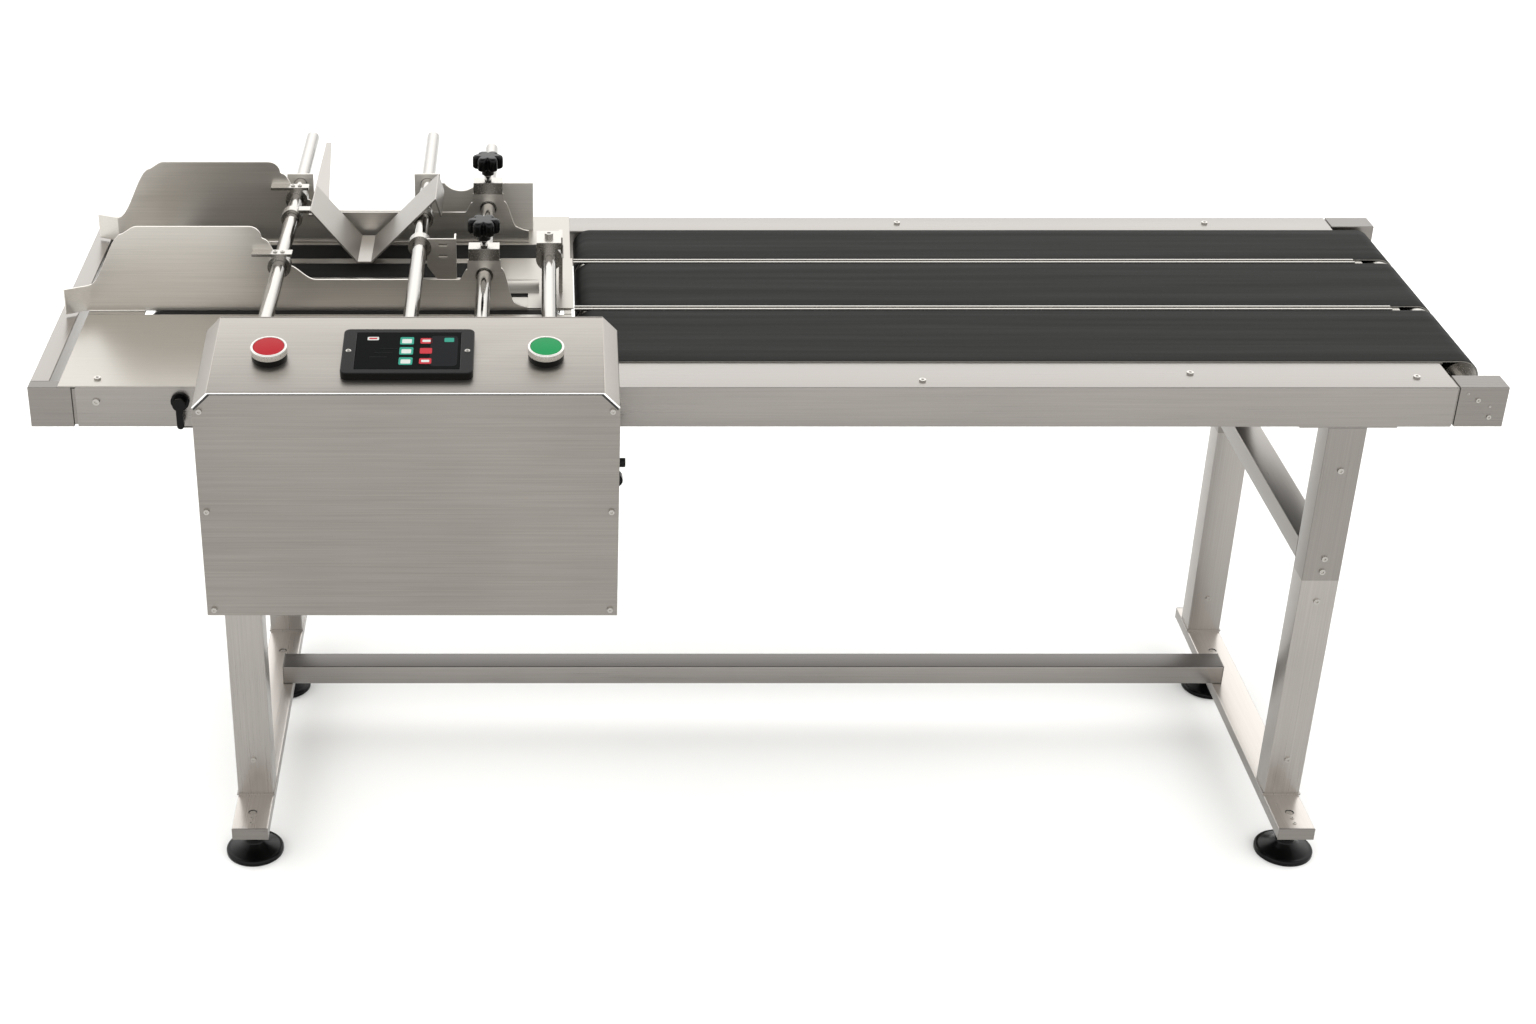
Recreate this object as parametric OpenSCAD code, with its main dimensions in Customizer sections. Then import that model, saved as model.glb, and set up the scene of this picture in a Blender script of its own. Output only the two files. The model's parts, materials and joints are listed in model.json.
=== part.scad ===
// Friction feeder with a three-belt delivery conveyor on a leg frame.
// Each piece is drawn with x from the infeed end, y from the front face of
// the front rail and z from the floor. place() then moves the whole machine
// so that its origin is under the middle of its outer box, on the floor.

/* [Frame] */
// Overall length of the bed
frame_l = 1900; // [1700:10:2400]
// Overall depth over the two rails
frame_d = 595; // [560:5:720]
// Height of the top of the rails above the floor
table_h = 700; // [580:10:850]
// Height of both rails
rail_h = 56; // [50:1:70]
// Depth of the front rail
front_rail_d = 76; // [60:1:76]
// Depth of the rear rail
rear_rail_d = 55; // [45:1:60]
// Wall of every folded rail, tube and cover
sheet_t = 2; // [1.5:0.5:3]
// Length of the outlet end blocks
outlet_block_l = 63; // [55:1:75]
// Depth of the outlet end blocks
outlet_block_d = 37; // [25:1:40]
// Length of the infeed end blocks
infeed_block_l = 56; // [40:1:60]
// Depth of the infeed end blocks
infeed_block_d = 20; // [15:1:30]
// Width of the bar that closes the infeed end
crossbar_w = 25; // [20:1:30]

/* [Legs] */
// Distance from the infeed end to the left legs
leg_left_x = 231; // [150:1:400]
// Distance from the outlet end to the far face of the right legs
leg_right_inset = 173; // [100:1:400]
// Width of a leg, along the bed
leg_w = 50; // [40:1:60]
// Depth of a leg, across the bed
leg_d = 40; // [35:1:50]
// Distance of the rear legs' back face from the rear face of the bed
rear_leg_inset = 113; // [60:1:130]
// Distance from the top of the rails down to the splice seam in each leg
splice_drop = 286; // [250:1:320]
// Height of the underside of the foot bars above the floor
foot_bar_z = 47; // [40:1:60]
// Height of the foot bar section
foot_bar_h = 18; // [15:1:30]
// How far the foot bars reach out in front of the bed
foot_bar_front = 80; // [60:1:120]
// Height of the long stretcher between the foot bars
stretcher_h = 30; // [20:1:40]
// Radius of a levelling foot's pad
foot_r = 40; // [30:1:45]
// Radius of a levelling foot's stem
foot_stem_r = 6; // [5:0.5:8]

/* [Belts and rollers] */
// Distance from the infeed end to the start of the delivery belts
belt_start = 705; // [690:1:900]
// Thickness of every flat belt
belt_t = 2; // [1.5:0.5:3]
// Width of the front delivery belt
front_belt_w = 165.7; // [120:0.1:180]
// Width of the middle delivery belt
mid_belt_w = 153; // [120:1:160]
// Gap between two delivery belts
belt_gap = 15; // [12:1:20]
// Radius of the delivery rollers
roller_r = 22.7; // [18:0.1:25]
// Radius of the feed rollers
feed_roller_r = 17.7; // [15:0.1:20]
// Radius of every roller shaft
shaft_r = 8; // [6:0.5:9]
// Running clearance of a shaft in its bearing
run_clear = 0.05; // [0.02:0.01:0.1]
// Gap between parts that must not touch
gap = 0.3; // [0.2:0.05:0.5]

/* [Control box] */
// Distance from the infeed end to the control box
box_x = 236; // [200:1:300]
// Width of the control box
box_w = 519; // [519:1:560]
// Depth of the control box
box_d = 165; // [150:1:200]
// Distance from the top of the rails down to the bottom of the box
box_drop = 241; // [200:1:300]
// Height of the box's front top edge above the rails
box_front_rise = 71; // [60:1:90]
// Height of the box's rear top edge above the rails
box_rear_rise = 99; // [95:1:120]
// Size of the slanted upper corners of the box
box_chamfer = 19; // [10:1:25]
// Radius of a push button's coloured cap
button_r = 19.3; // [15:0.1:22]
// Travel of a push button
button_travel = 3; // [2:0.5:4]

/* [Hopper] */
// Radius of the guide rods
rod_r = 10; // [8:0.5:12]
// Height of the two upper guide rods above the rails
upper_rod_rise = 73; // [70:1:80]
// Height of the two lower guide rods above the rails
lower_rod_rise = 54; // [50:1:60]
// How far the guide rods reach out behind the bed
rod_overhang = 150; // [100:1:200]
// Distance of the front guide from the front face of the bed
front_guide_y = 240; // [200:1:240]
// Distance of the rear guide from the rear face of the bed
rear_guide_inset = 103; // [90:1:110]
// Thickness of the guide plates
guide_t = 3; // [2:0.5:4]
// Height of the tall part of the guides
guide_tall = 122; // [110:1:140]
// Height of the low part of the guides
guide_low = 45; // [30:1:50]
// Radius of a star knob
knob_r = 22; // [18:1:24]
// Depth of the bent product support
vee_d = 100; // [60:1:110]

/* [Hidden] */
$fn = 48;

// Heights
rail_z = table_h - rail_h;
deck_z = table_h + belt_t;
splice_z = table_h - splice_drop;
bar_top = foot_bar_z + foot_bar_h;

// Depths
rear_rail_y = frame_d - rear_rail_d;
rear_leg_y = frame_d - rear_leg_inset - leg_d;
rear_guide_y = frame_d - rear_guide_inset;
rod_end_y = frame_d + rod_overhang;
cover_screw_h = 3;
mid_y = (rod_end_y - box_d - cover_screw_h) / 2;

// Lengths
rail_gap = 5;
rail_x0 = infeed_block_l + rail_gap;
outlet_seam = 3;
block_x0 = frame_l - outlet_block_l;
rail_x1 = block_x0 - outlet_seam;
leg_xs = [leg_left_x, frame_l - leg_right_inset - leg_w];
table_gap = 14;
table_x0 = crossbar_w + table_gap;
table_x1 = belt_start - 5;

// Feed belts: each one's front edge and width, from the front of the bed
feed_idler_x = 140;
feed_drive_x = 665;
feed_strips = [[front_guide_y - 10, 13], [290, 50], [360, 50], [430, 50]];
slot_clear = 2;
feed_end_y = 484;

// Rollers
bore_gap = 0.3;
drive_x = belt_start + roller_r + bore_gap + belt_t;
tail_x = frame_l - 10 - roller_r - bore_gap - belt_t;
roller_z = deck_z - belt_t - bore_gap - roller_r;
feed_roller_z = deck_z - belt_t - bore_gap - feed_roller_r;
bearing_r = 14;
bearing_w = 12;
pulley_r = 18;
pulley_w = 10;
pulley_1_y = -14;
pulley_2_y = -27;
motor_x = 640;
motor_z = table_h - 140;

// Delivery belts: each one's front and rear edge
belt_edge = front_rail_d + 1.3;
belt_ys = [
    [belt_edge, belt_edge + front_belt_w],
    [belt_edge + front_belt_w + belt_gap, belt_edge + front_belt_w + belt_gap + mid_belt_w],
    [belt_edge + front_belt_w + mid_belt_w + 2 * belt_gap, rear_rail_y - 0.5]];

// Control box
box_z0 = table_h - box_drop;
box_tilt = atan((box_rear_rise - box_front_rise) / box_d);
box_mid_x = box_x + box_w / 2;
stop_x = box_x + 89;
start_x = box_x + 429;
control_y = -90;
display_w = 162;
display_d = 97;
display_h = 10;
power_y = -60;
power_z = table_h - 90;

// Guide rods: position along the bed and height of each
rod_a = [304.5, table_h + upper_rod_rise];
rod_b = [491, table_h + upper_rod_rise];
rod_c = [581, table_h + lower_rod_rise];
rod_d = [669, table_h + lower_rod_rise];
rod_d_end = 345;
rod_start_y = -12;
collar_r = 16;
grip_r = rod_r + run_clear;
guide_z = table_h + 3.2;
knob_z = table_h + 112;
knob_h = 20;

// Bent product support
vee_y1 = rear_guide_y - 12;
vee_y0 = vee_y1 - vee_d;
vee_t = 2.5;
vee_left = [334, table_h + 93];
vee_foot_l = [397, table_h + 16];
arm_slope = 45.3;
arm_along = [cos(arm_slope), sin(arm_slope)];
arm_clear = 1.27;
arm_low = 92.6;
arm_high = 39.6;
arm_mid = rod_b + (rod_r + arm_clear + vee_t / 2) * [-sin(arm_slope), cos(arm_slope)];
vee_foot_r = arm_mid - arm_low * arm_along;
vee_right = arm_mid + arm_high * arm_along;
vee_lip = vee_right + [7, -24];

// ---------- Helpers ----------

// Puts the origin under the middle of the machine, on the floor
module place() {
    translate([-frame_l / 2, -mid_y, 0]) children();
}

// Box between two corners
module block(from, to) {
    translate(from) cube(to - from);
}

// Flat outline in x and z, made solid from y0 to y1
module along_y(y0, y1) {
    translate([0, y1, 0]) rotate([90, 0, 0]) linear_extrude(y1 - y0) children();
}

// Flat outline in y and z, made solid from x0 to x1
module along_x(x0, x1) {
    translate([x0, 0, 0]) rotate([90, 0, 90]) linear_extrude(x1 - x0) children();
}

// Round bar along y through the point at = [x, z]
module bar_y(at, r, y0, y1) {
    translate([at[0], y0, at[1]]) rotate([-90, 0, 0]) cylinder(h = y1 - y0, r = r);
}

// Rectangular tube between two corners, open along the named axis
module tube(from, to, axis, wall = sheet_t) {
    open = [axis == "x" ? 1 : -wall, axis == "y" ? 1 : -wall, axis == "z" ? 1 : -wall];
    difference() {
        block(from, to);
        block(from - open, to + open);
    }
}

// Round-headed hexagon-socket screw head that sits at the origin, facing +z
module screw_head(r = 4.5, h = 2.4) {
    difference() {
        cylinder(h = h, r = r);
        translate([0, 0, h - 1.2]) cylinder(h = 2, r = r / 2, $fn = 6);
    }
}

// Screw heads that face the front at each [x, z], seated on the plane y
module front_screws(points, y, r = 4.5, h = 2.4) {
    for (p = points) translate([p[0], y, p[1]]) rotate([90, 0, 0]) screw_head(r, h);
}

// Screw heads that face up at each [x, y], seated on the height z
module top_screws(points, z, r = 4.5, h = 2.4) {
    for (p = points) translate([p[0], p[1], z]) screw_head(r, h);
}

// Straight strip of sheet between two points of a flat outline, with round ends
module strip_2d(p, q, t) {
    d = q - p;
    translate(p) rotate(atan2(d[1], d[0])) translate([0, -t / 2]) square([norm(d), t]);
    translate(p) circle(d = t);
    translate(q) circle(d = t);
}

// Loop of flat belt around two equal rollers at p and q, from y0 to y1
module belt_loop(p, q, inner_r, y0, y1) {
    span = q - p;
    far = [norm(span), 0];
    translate([p[0], 0, p[1]]) rotate([0, -atan2(span[1], span[0]), 0]) along_y(y0, y1)
        difference() {
            strip_2d([0, 0], far, 2 * (inner_r + belt_t));
            strip_2d([0, 0], far, 2 * inner_r);
        }
}

// Roller body with its shaft
module roller(at, r, y0, y1, shaft_y0, shaft_y1) {
    bar_y(at, r, y0, y1);
    bar_y(at, shaft_r, shaft_y0, shaft_y1);
}

// Puts children on the sloping top of the control box, above [x, y]
module on_box_top(x, y) {
    z = table_h + box_front_rise + (y + box_d) * tan(box_tilt);
    translate([x, y, z]) rotate([box_tilt, 0, 0]) children();
}

// Closed form of the control box, shrunk by inset, from y0 to y1
module box_form(inset, y0, y1) {
    front_z = table_h + box_front_rise - inset / cos(box_tilt);
    slope = tan(box_tilt);
    x1 = box_x + box_w;
    cut = box_chamfer + inset * (sqrt(2) - 1);
    difference() {
        along_x(box_x + inset, x1 - inset) polygon([
            [y0, box_z0 + inset],
            [y1, box_z0 + inset],
            [y1, front_z + (y1 + box_d) * slope],
            [y0, front_z + (y0 + box_d) * slope]]);
        for (side = [[box_x + inset + cut, -45], [x1 - inset - cut, 45]])
            translate([side[0], -box_d, front_z]) rotate([box_tilt, 0, 0]) rotate([0, side[1], 0])
                translate([-60, -60, 0]) cube([120, box_d + 120, 60]);
    }
}

// ---------- Bed frame ----------

module front_rail() {
    color("silver") difference() {
        tube([rail_x0, 0, rail_z], [rail_x1, front_rail_d, table_h], "x");
        bar_y([drive_x, roller_z], shaft_r + 2, -1, sheet_t + 1);
        bar_y([feed_drive_x, feed_roller_z], shaft_r + 2, -1, sheet_t + 1);
        for (at = [[drive_x, roller_z], [feed_drive_x, feed_roller_z], [feed_idler_x, feed_roller_z]])
            bar_y(at, bearing_r + run_clear, front_rail_d - sheet_t - 1, front_rail_d + 1);
    }
}

module rear_rail() {
    color("silver") difference() {
        tube([rail_x0, rear_rail_y, rail_z], [rail_x1, frame_d, table_h], "x");
        for (at = [[drive_x, roller_z], [feed_drive_x, feed_roller_z], [feed_idler_x, feed_roller_z]])
            bar_y(at, bearing_r + run_clear, rear_rail_y - 1, rear_rail_y + sheet_t + 1);
    }
}

// End block with a tongue that slides into the rail tube
module end_block(x0, x1, y0, y1, tongue_x0, tongue_x1) {
    play = sheet_t + gap;
    block([x0, y0, rail_z], [x1, y1, table_h]);
    block([tongue_x0, max(y0, 0) + play, rail_z + play],
          [tongue_x1, min(y1, frame_d) - play, table_h - play]);
}

module end_blocks() {
    tongue = 40;
    color("silver") {
        end_block(0, infeed_block_l, 0, infeed_block_d, infeed_block_l, rail_x0 + tongue);
        end_block(0, infeed_block_l, frame_d - infeed_block_d, frame_d, infeed_block_l, rail_x0 + tongue);
        difference() {
            end_block(block_x0, frame_l, 0, outlet_block_d, rail_x1 - tongue, block_x0);
            bar_y([tail_x, roller_z], shaft_r + run_clear, 10, outlet_block_d + 1);
        }
        difference() {
            end_block(block_x0, frame_l, frame_d - outlet_block_d, frame_d, rail_x1 - tongue, block_x0);
            bar_y([tail_x, roller_z], shaft_r + run_clear, frame_d - outlet_block_d - 1, frame_d - 10);
        }
    }
}

module infeed_crossbar() {
    bar_h = 40;
    color("silver") tube([0, infeed_block_d, table_h - bar_h],
        [crossbar_w, frame_d - infeed_block_d, table_h], "y");
}

module bed_cross_members() {
    member_w = 30;
    member_z = table_h - 32;
    feed_top = table_h - gap;
    slider_top = table_h - gap - sheet_t;
    feed_xs = [200, 400, 600];
    slider_xs = [790, 1180, 1500, rail_x1 - 50];
    color("darkgray") {
        for (x = feed_xs) tube([x, front_rail_d, member_z],
            [x + member_w, rear_rail_y, feed_top], "y");
        for (x = slider_xs) tube([x, front_rail_d, member_z],
            [x + member_w, rear_rail_y, slider_top], "y");
    }
}

module slider_bed() {
    top = table_h - gap;
    color("silver") block([drive_x + roller_r + 3, front_rail_d + gap, top - sheet_t],
        [tail_x - roller_r - 3, rear_rail_y - gap, top]);
}

// Pair of bright edges with a groove between, in each gap between belts
module gap_strips() {
    strip_w = 12;
    lip_w = 3;
    z0 = table_h - gap;
    z1 = deck_z + 1;
    x1 = rail_x1 - 7;
    color("whitesmoke") for (i = [0, 1]) {
        y = belt_ys[i][1] + (belt_gap - strip_w) / 2;
        x0 = table_x1 + 4;
        difference() {
            block([x0, y, z0], [x1, y + strip_w, z1]);
            block([x0 - 1, y + lip_w, z0 + 1], [x1 + 1, y + strip_w - lip_w, z1 + 1]);
        }
    }
}

module table_plates() {
    split_y = feed_strips[0][0] - slot_clear;
    slot_x0 = feed_idler_x - feed_roller_r - 6;
    color("lightgray") {
        block([table_x0, 0, table_h], [table_x1, split_y, deck_z]);
        difference() {
            block([table_x0, split_y + slot_clear, table_h], [table_x1, frame_d, deck_z]);
            for (s = feed_strips)
                block([slot_x0, s[0] - slot_clear, table_h - 1],
                      [table_x1 - 10, s[0] + s[1] + slot_clear, deck_z + 1]);
        }
    }
}

// Plate over the end of the feed belts, with a rounded hood and a window
module discharge_deck() {
    z0 = deck_z + gap;
    deck_t = 1.5;
    y0 = front_guide_y + 6;
    y1 = 425;
    x0 = 600;
    x1 = table_x1 + 3;
    hood_y = 320;
    hood_r = 30;
    hood_sink = 20;
    hood_half = sqrt(hood_r * hood_r - hood_sink * hood_sink);
    color("lightgray") {
        difference() {
            block([x0, y0, z0], [x1, y1, z0 + deck_t]);
            block([x0 - 1, y0 + 3, z0 - 1], [640, hood_y - hood_half, z0 + 3]);
            block([x0 - 1, hood_y - hood_half + 1, z0 - 1], [655, hood_y + hood_half - 1, z0 + 3]);
        }
        intersection() {
            translate([x0, hood_y, z0 - hood_sink]) rotate([0, 90, 0]) difference() {
                cylinder(h = 55, r = hood_r);
                translate([0, 0, -1]) cylinder(h = 60, r = hood_r - deck_t);
            }
            block([x0, y0, z0], [x1, y1, z0 + hood_r]);
        }
    }
}

// ---------- Leg frame ----------

bracket_h = 30;
rear_leg_top = rail_z - sheet_t - bracket_h;

module upper_legs() {
    color("silver") for (x = leg_xs) {
        tube([x, 0, splice_z], [x + leg_w, leg_d, rail_z - sheet_t], "z");
        tube([x, rear_leg_y, splice_z], [x + leg_w, rear_leg_y + leg_d, rear_leg_top], "z");
    }
}

// Lower legs, each with a welded base plate that stands on the foot bar
module lower_legs() {
    base_t = 3;
    lip = 1.5;
    color("silver") for (x = leg_xs, y = [0, rear_leg_y]) {
        tube([x, y, bar_top + base_t], [x + leg_w, y + leg_d, splice_z], "z");
        block([x - lip, y - lip, bar_top], [x + leg_w + lip, y + leg_d + lip, bar_top + base_t]);
    }
}

module leg_splices() {
    play = sheet_t + gap;
    reach = 65;
    color("gray") for (x = leg_xs, y = [0, rear_leg_y])
        tube([x + play, y + play, splice_z - reach],
            [x + leg_w - play, y + leg_d - play, splice_z + reach], "z");
}

module leg_cross_tubes() {
    tube_w = 40;
    tube_z = splice_z + 14;
    color("silver") for (x = leg_xs)
        tube([x, leg_d, tube_z], [x + tube_w, rear_leg_y, tube_z + 31], "y");
}

// Plates under the rails and short beams that carry the inset rear legs
module leg_brackets() {
    side = 38;
    color("silver") for (x = leg_xs) {
        block([x - side, 0, rail_z - sheet_t], [x + leg_w + side, front_rail_d - 10, rail_z]);
        block([x - side, rear_rail_y, rail_z - sheet_t], [x + leg_w + side, frame_d, rail_z]);
        tube([x, rear_leg_y - 40, rear_leg_top], [x + leg_w, frame_d, rail_z - sheet_t], "y");
    }
}

foot_ys = [-42, rear_leg_y - 58];
bar_end_y = rear_leg_y + leg_d + 31;

module foot_bars() {
    color("silver") for (x = leg_xs) difference() {
        tube([x, -foot_bar_front, foot_bar_z], [x + leg_w, bar_end_y, bar_top], "y");
        for (y = foot_ys) translate([x + leg_w / 2, y, foot_bar_z - 1])
            cylinder(h = foot_bar_h + 2, r = foot_stem_r + 2 * run_clear);
    }
}

stretcher_y = 289;
stretcher_rest = 13;

module stretcher() {
    color("silver") tube([leg_xs[0] + leg_w - stretcher_rest, stretcher_y, bar_top],
        [leg_xs[1] + stretcher_rest, stretcher_y + 39, bar_top + stretcher_h], "x");
}

module end_caps() {
    cap_t = 2;
    color("dimgray") {
        for (x = leg_xs, y = [-foot_bar_front - cap_t, bar_end_y])
            block([x, y, foot_bar_z], [x + leg_w, y + cap_t, bar_top]);
        for (x = [leg_xs[0] + leg_w - stretcher_rest - cap_t, leg_xs[1] + stretcher_rest])
            block([x, stretcher_y, bar_top], [x + cap_t, stretcher_y + 39, bar_top + stretcher_h]);
    }
}

nut_h = 8;

module foot_nuts() {
    color("silver") for (x = leg_xs, y = foot_ys)
        translate([x + leg_w / 2, y, foot_bar_z - nut_h]) difference() {
            cylinder(h = nut_h, r = 10.5, $fn = 6);
            translate([0, 0, -1]) cylinder(h = nut_h + 2, r = foot_stem_r + 2 * run_clear);
        }
}

module frame_screws() {
    leg_mid = leg_w / 2;
    right = leg_xs[1] + leg_mid;
    left = leg_xs[0] + leg_mid;
    inset = 9;
    box_right = box_x + box_w;
    color("gainsboro") {
        // On the front faces of the legs
        front_screws([for (z = [table_h - 120, splice_z + 34, splice_z + 14, splice_z - 32, bar_top + 60])
            [right, z]], 0, 4, 2.4);
        front_screws([[left, bar_top + 60]], 0, 4, 2.4);
        front_screws([for (x = [left, right]) [x, bar_top + 60]], rear_leg_y, 4, 2.4);
        // On the rails and end blocks
        front_screws([[87, table_h - 20]], 0);
        top_screws([[87, 22]], deck_z);
        top_screws([[1150, 20], [1500, 42], [1790, 30]], table_h);
        top_screws([[1190, frame_d - 24], [1650, frame_d - 24]], table_h);
        front_screws([for (at = [[25, 38], [43, 14]]) [block_x0 + at[0], rail_z + at[1]]], 0, 3, 1.6);
        front_screws([for (at = [[11, 47], [42, 29]]) [block_x0 + at[0], rail_z + at[1]]], 0, 1.5, 0.8);
        // Down through the front of the foot bars
        top_screws([for (x = [left, right], y = [12, 24]) [x, -foot_bar_front + y]], bar_top, 2.5, 1.2);
        // Around the front cover of the control box
        front_screws([for (x = [box_x + inset, box_right - inset],
            z = [box_z0 + inset, box_z0 + 150, table_h + box_front_rise - 24]) [x, z]],
            -box_d, 3.5, cover_screw_h);
    }
}

// ---------- Control box ----------

module box_shell() {
    back_y = -sheet_t;
    color("silver") difference() {
        box_form(0, -box_d + sheet_t, back_y);
        box_form(sheet_t, -box_d - 1, 1);
        for (x = [stop_x, start_x]) on_box_top(x, control_y)
            translate([0, 0, -10]) cylinder(h = 20, r = 11);
        on_box_top(box_mid_x, control_y) translate([-50, -30, -10]) cube([100, 60, 20]);
        block([box_x + box_w - 10, power_y - 16, power_z - 20],
              [box_x + box_w + 10, power_y + 16, power_z + 20]);
    }
}

module box_front_cover() {
    color("silver") box_form(0, -box_d, -box_d + sheet_t);
}

module box_back_plate() {
    color("silver") difference() {
        box_form(0, -sheet_t, 0);
        for (at = [rod_a, rod_b, rod_c, rod_d]) bar_y(at, grip_r, -sheet_t - 1, 1);
        for (at = [[drive_x, roller_z], [feed_drive_x, feed_roller_z]])
            bar_y(at, shaft_r + 2, -sheet_t - 1, 1);
    }
}

collar_h = 8;
ring_h = 9;

module button_collars() {
    color("black") for (x = [stop_x, start_x]) on_box_top(x, control_y) difference() {
        union() {
            cylinder(h = collar_h, r = button_r + 2.7);
            translate([0, 0, -24]) cylinder(h = 24, r = 10.7);
        }
        translate([0, 0, 1]) cylinder(h = collar_h, r = button_r + gap);
    }
}

module button_rings() {
    color("gainsboro") for (x = [stop_x, start_x]) on_box_top(x, control_y)
        translate([0, 0, collar_h]) difference() {
            cylinder(h = ring_h, r = button_r + 3.2);
            translate([0, 0, -1]) cylinder(h = ring_h + 2, r = button_r + gap);
        }
}

module button_cap(x) {
    cap_z = 1 + button_travel + 0.5;
    on_box_top(x, control_y) translate([0, 0, cap_z])
        cylinder(h = collar_h + ring_h + 0.4 - cap_z, r = button_r);
}

module stop_button() {
    color("crimson") button_cap(stop_x);
}

module start_button() {
    color("seagreen") button_cap(start_x);
}

// Rounded plate centred on the origin
module round_plate(w, d, h, r) {
    for (x = [-1, 1], y = [-1, 1])
        translate([x * (w / 2 - r), y * (d / 2 - r), 0]) cylinder(h = h, r = r);
    translate([-w / 2 + r, -d / 2, 0]) cube([w - 2 * r, d, h]);
    translate([-w / 2, -d / 2 + r, 0]) cube([w, d - 2 * r, h]);
}

screen_w = 128;
screen_d = 78;

module display_housing() {
    color("black") on_box_top(box_mid_x, control_y) difference() {
        round_plate(display_w, display_d, display_h, 8);
        translate([-screen_w / 2 - gap, -screen_d / 2 - gap, display_h - 3])
            cube([screen_w + 2 * gap, screen_d + 2 * gap, 5]);
    }
}

module display_screen() {
    color("midnightblue") on_box_top(box_mid_x, control_y)
        translate([-screen_w / 2, -screen_d / 2, display_h - 3]) cube([screen_w, screen_d, 2.7]);
}

power_t = 3;
rocker_w = 13;
rocker_h = 20;
rocker_z = power_z - 10;
fuse_z = power_z + 13;

module power_plate() {
    x0 = box_x + box_w;
    color("black") difference() {
        block([x0, power_y - 20, power_z - 25], [x0 + power_t, power_y + 20, power_z + 25]);
        block([x0 - 1, power_y - rocker_w / 2 - 0.5, rocker_z - rocker_h / 2 - 0.5],
              [x0 + power_t + 1, power_y + rocker_w / 2 + 0.5, rocker_z + rocker_h / 2 + 0.5]);
    }
}

module fuse_cap() {
    color("black") translate([box_x + box_w + power_t, power_y, fuse_z]) rotate([0, 90, 0])
        cylinder(h = 8, r = 6);
}

// Rocker that turns about a line along y, just inside the plate
module power_rocker() {
    x0 = box_x + box_w + power_t / 2;
    r = 9.5;
    color("dimgray") intersection() {
        bar_y([x0 - 3, rocker_z], r, power_y - rocker_w / 2, power_y + rocker_w / 2);
        block([x0 - 4, power_y - rocker_w, rocker_z - 9], [x0 + r, power_y + rocker_w, rocker_z + 9]);
    }
}

module gear_motor() {
    body_r = 36;
    back_y = -box_d + sheet_t + 6;
    head_y = -70;
    color("steelblue") difference() {
        union() {
            bar_y([motor_x, motor_z], body_r, back_y, head_y);
            block([motor_x - 42, head_y, motor_z - 42], [motor_x + 42, -32, motor_z + 42]);
            // Feet that bolt the gear head to the back plate
            for (x = [motor_x - 42, motor_x + 30])
                block([x, -32, motor_z - 42], [x + 12, -sheet_t, motor_z - 30]);
        }
        bar_y([motor_x, motor_z], shaft_r + run_clear, -48, -31);
    }
}

module inverter() {
    color("darkslategray") block([box_x + 60, -72, box_z0 + 60], [box_x + 180, -sheet_t, box_z0 + 220]);
}

module drive_belts() {
    color("black") {
        belt_loop([motor_x, motor_z], [drive_x, roller_z], pulley_r + bore_gap,
            pulley_1_y + 1, pulley_1_y + pulley_w - 1);
        belt_loop([motor_x, motor_z], [feed_drive_x, feed_roller_z], pulley_r + bore_gap,
            pulley_2_y + 1, pulley_2_y + pulley_w - 1);
    }
}

// ---------- Rollers and belts ----------

bearing_y0 = front_rail_d - bearing_w;

module roller_bearings() {
    color("dimgray") for (at = [[drive_x, roller_z], [feed_drive_x, feed_roller_z],
        [feed_idler_x, feed_roller_z]], y = [bearing_y0, rear_rail_y]) difference() {
            bar_y(at, bearing_r, y, y + bearing_w);
            bar_y(at, shaft_r + run_clear, y - 1, y + bearing_w + 1);
        }
}

module conveyor_belts() {
    color("#3c3c3b") for (y = belt_ys)
        belt_loop([drive_x, roller_z], [tail_x, roller_z], roller_r + bore_gap, y[0], y[1]);
}

module feed_belts() {
    color("#3c3c3b") for (s = feed_strips)
        belt_loop([feed_idler_x, feed_roller_z], [feed_drive_x, feed_roller_z],
            feed_roller_r + bore_gap, s[0], s[0] + s[1]);
}

module drive_roller() {
    color("silver") {
        roller([drive_x, roller_z], roller_r, belt_edge, rear_rail_y - 1,
            pulley_1_y - 2, rear_rail_y + bearing_w);
        bar_y([drive_x, roller_z], pulley_r, pulley_1_y, pulley_1_y + pulley_w);
    }
}

module tail_roller() {
    color("silver") roller([tail_x, roller_z], roller_r, belt_edge, rear_rail_y - 1,
        11, frame_d - 11);
}

module feed_drive_roller() {
    color("silver") {
        roller([feed_drive_x, feed_roller_z], feed_roller_r, feed_strips[0][0] - 1, feed_end_y,
            pulley_2_y - 2, rear_rail_y + bearing_w);
        bar_y([feed_drive_x, feed_roller_z], pulley_r, pulley_2_y, pulley_2_y + pulley_w);
    }
}

module feed_idler_roller() {
    color("silver") roller([feed_idler_x, feed_roller_z], feed_roller_r,
        feed_strips[0][0] - 1, feed_end_y, bearing_y0, rear_rail_y + bearing_w);
}

module motor_pulley() {
    color("gray") {
        bar_y([motor_x, motor_z], pulley_r, pulley_2_y, pulley_1_y + pulley_w);
        bar_y([motor_x, motor_z], shaft_r, -46, pulley_2_y + 1);
    }
}

// ---------- Guide rods ----------

plate_t = 4;
groove_y = rear_rail_y + plate_t + 1;
groove_w = 1.2;
groove_r = rod_r - 0.5;

// Long rods, each grooved just behind the rear plate, and the short rod
module guide_rods() {
    color("whitesmoke") {
        for (at = [rod_a, rod_b, rod_c]) difference() {
            bar_y(at, rod_r, rod_start_y, rod_end_y);
            difference() {
                bar_y(at, rod_r + 1, groove_y, groove_y + groove_w);
                bar_y(at, groove_r, groove_y - 1, groove_y + groove_w + 1);
            }
        }
        bar_y(rod_d, rod_r, rod_start_y, rod_d_end);
    }
}

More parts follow.
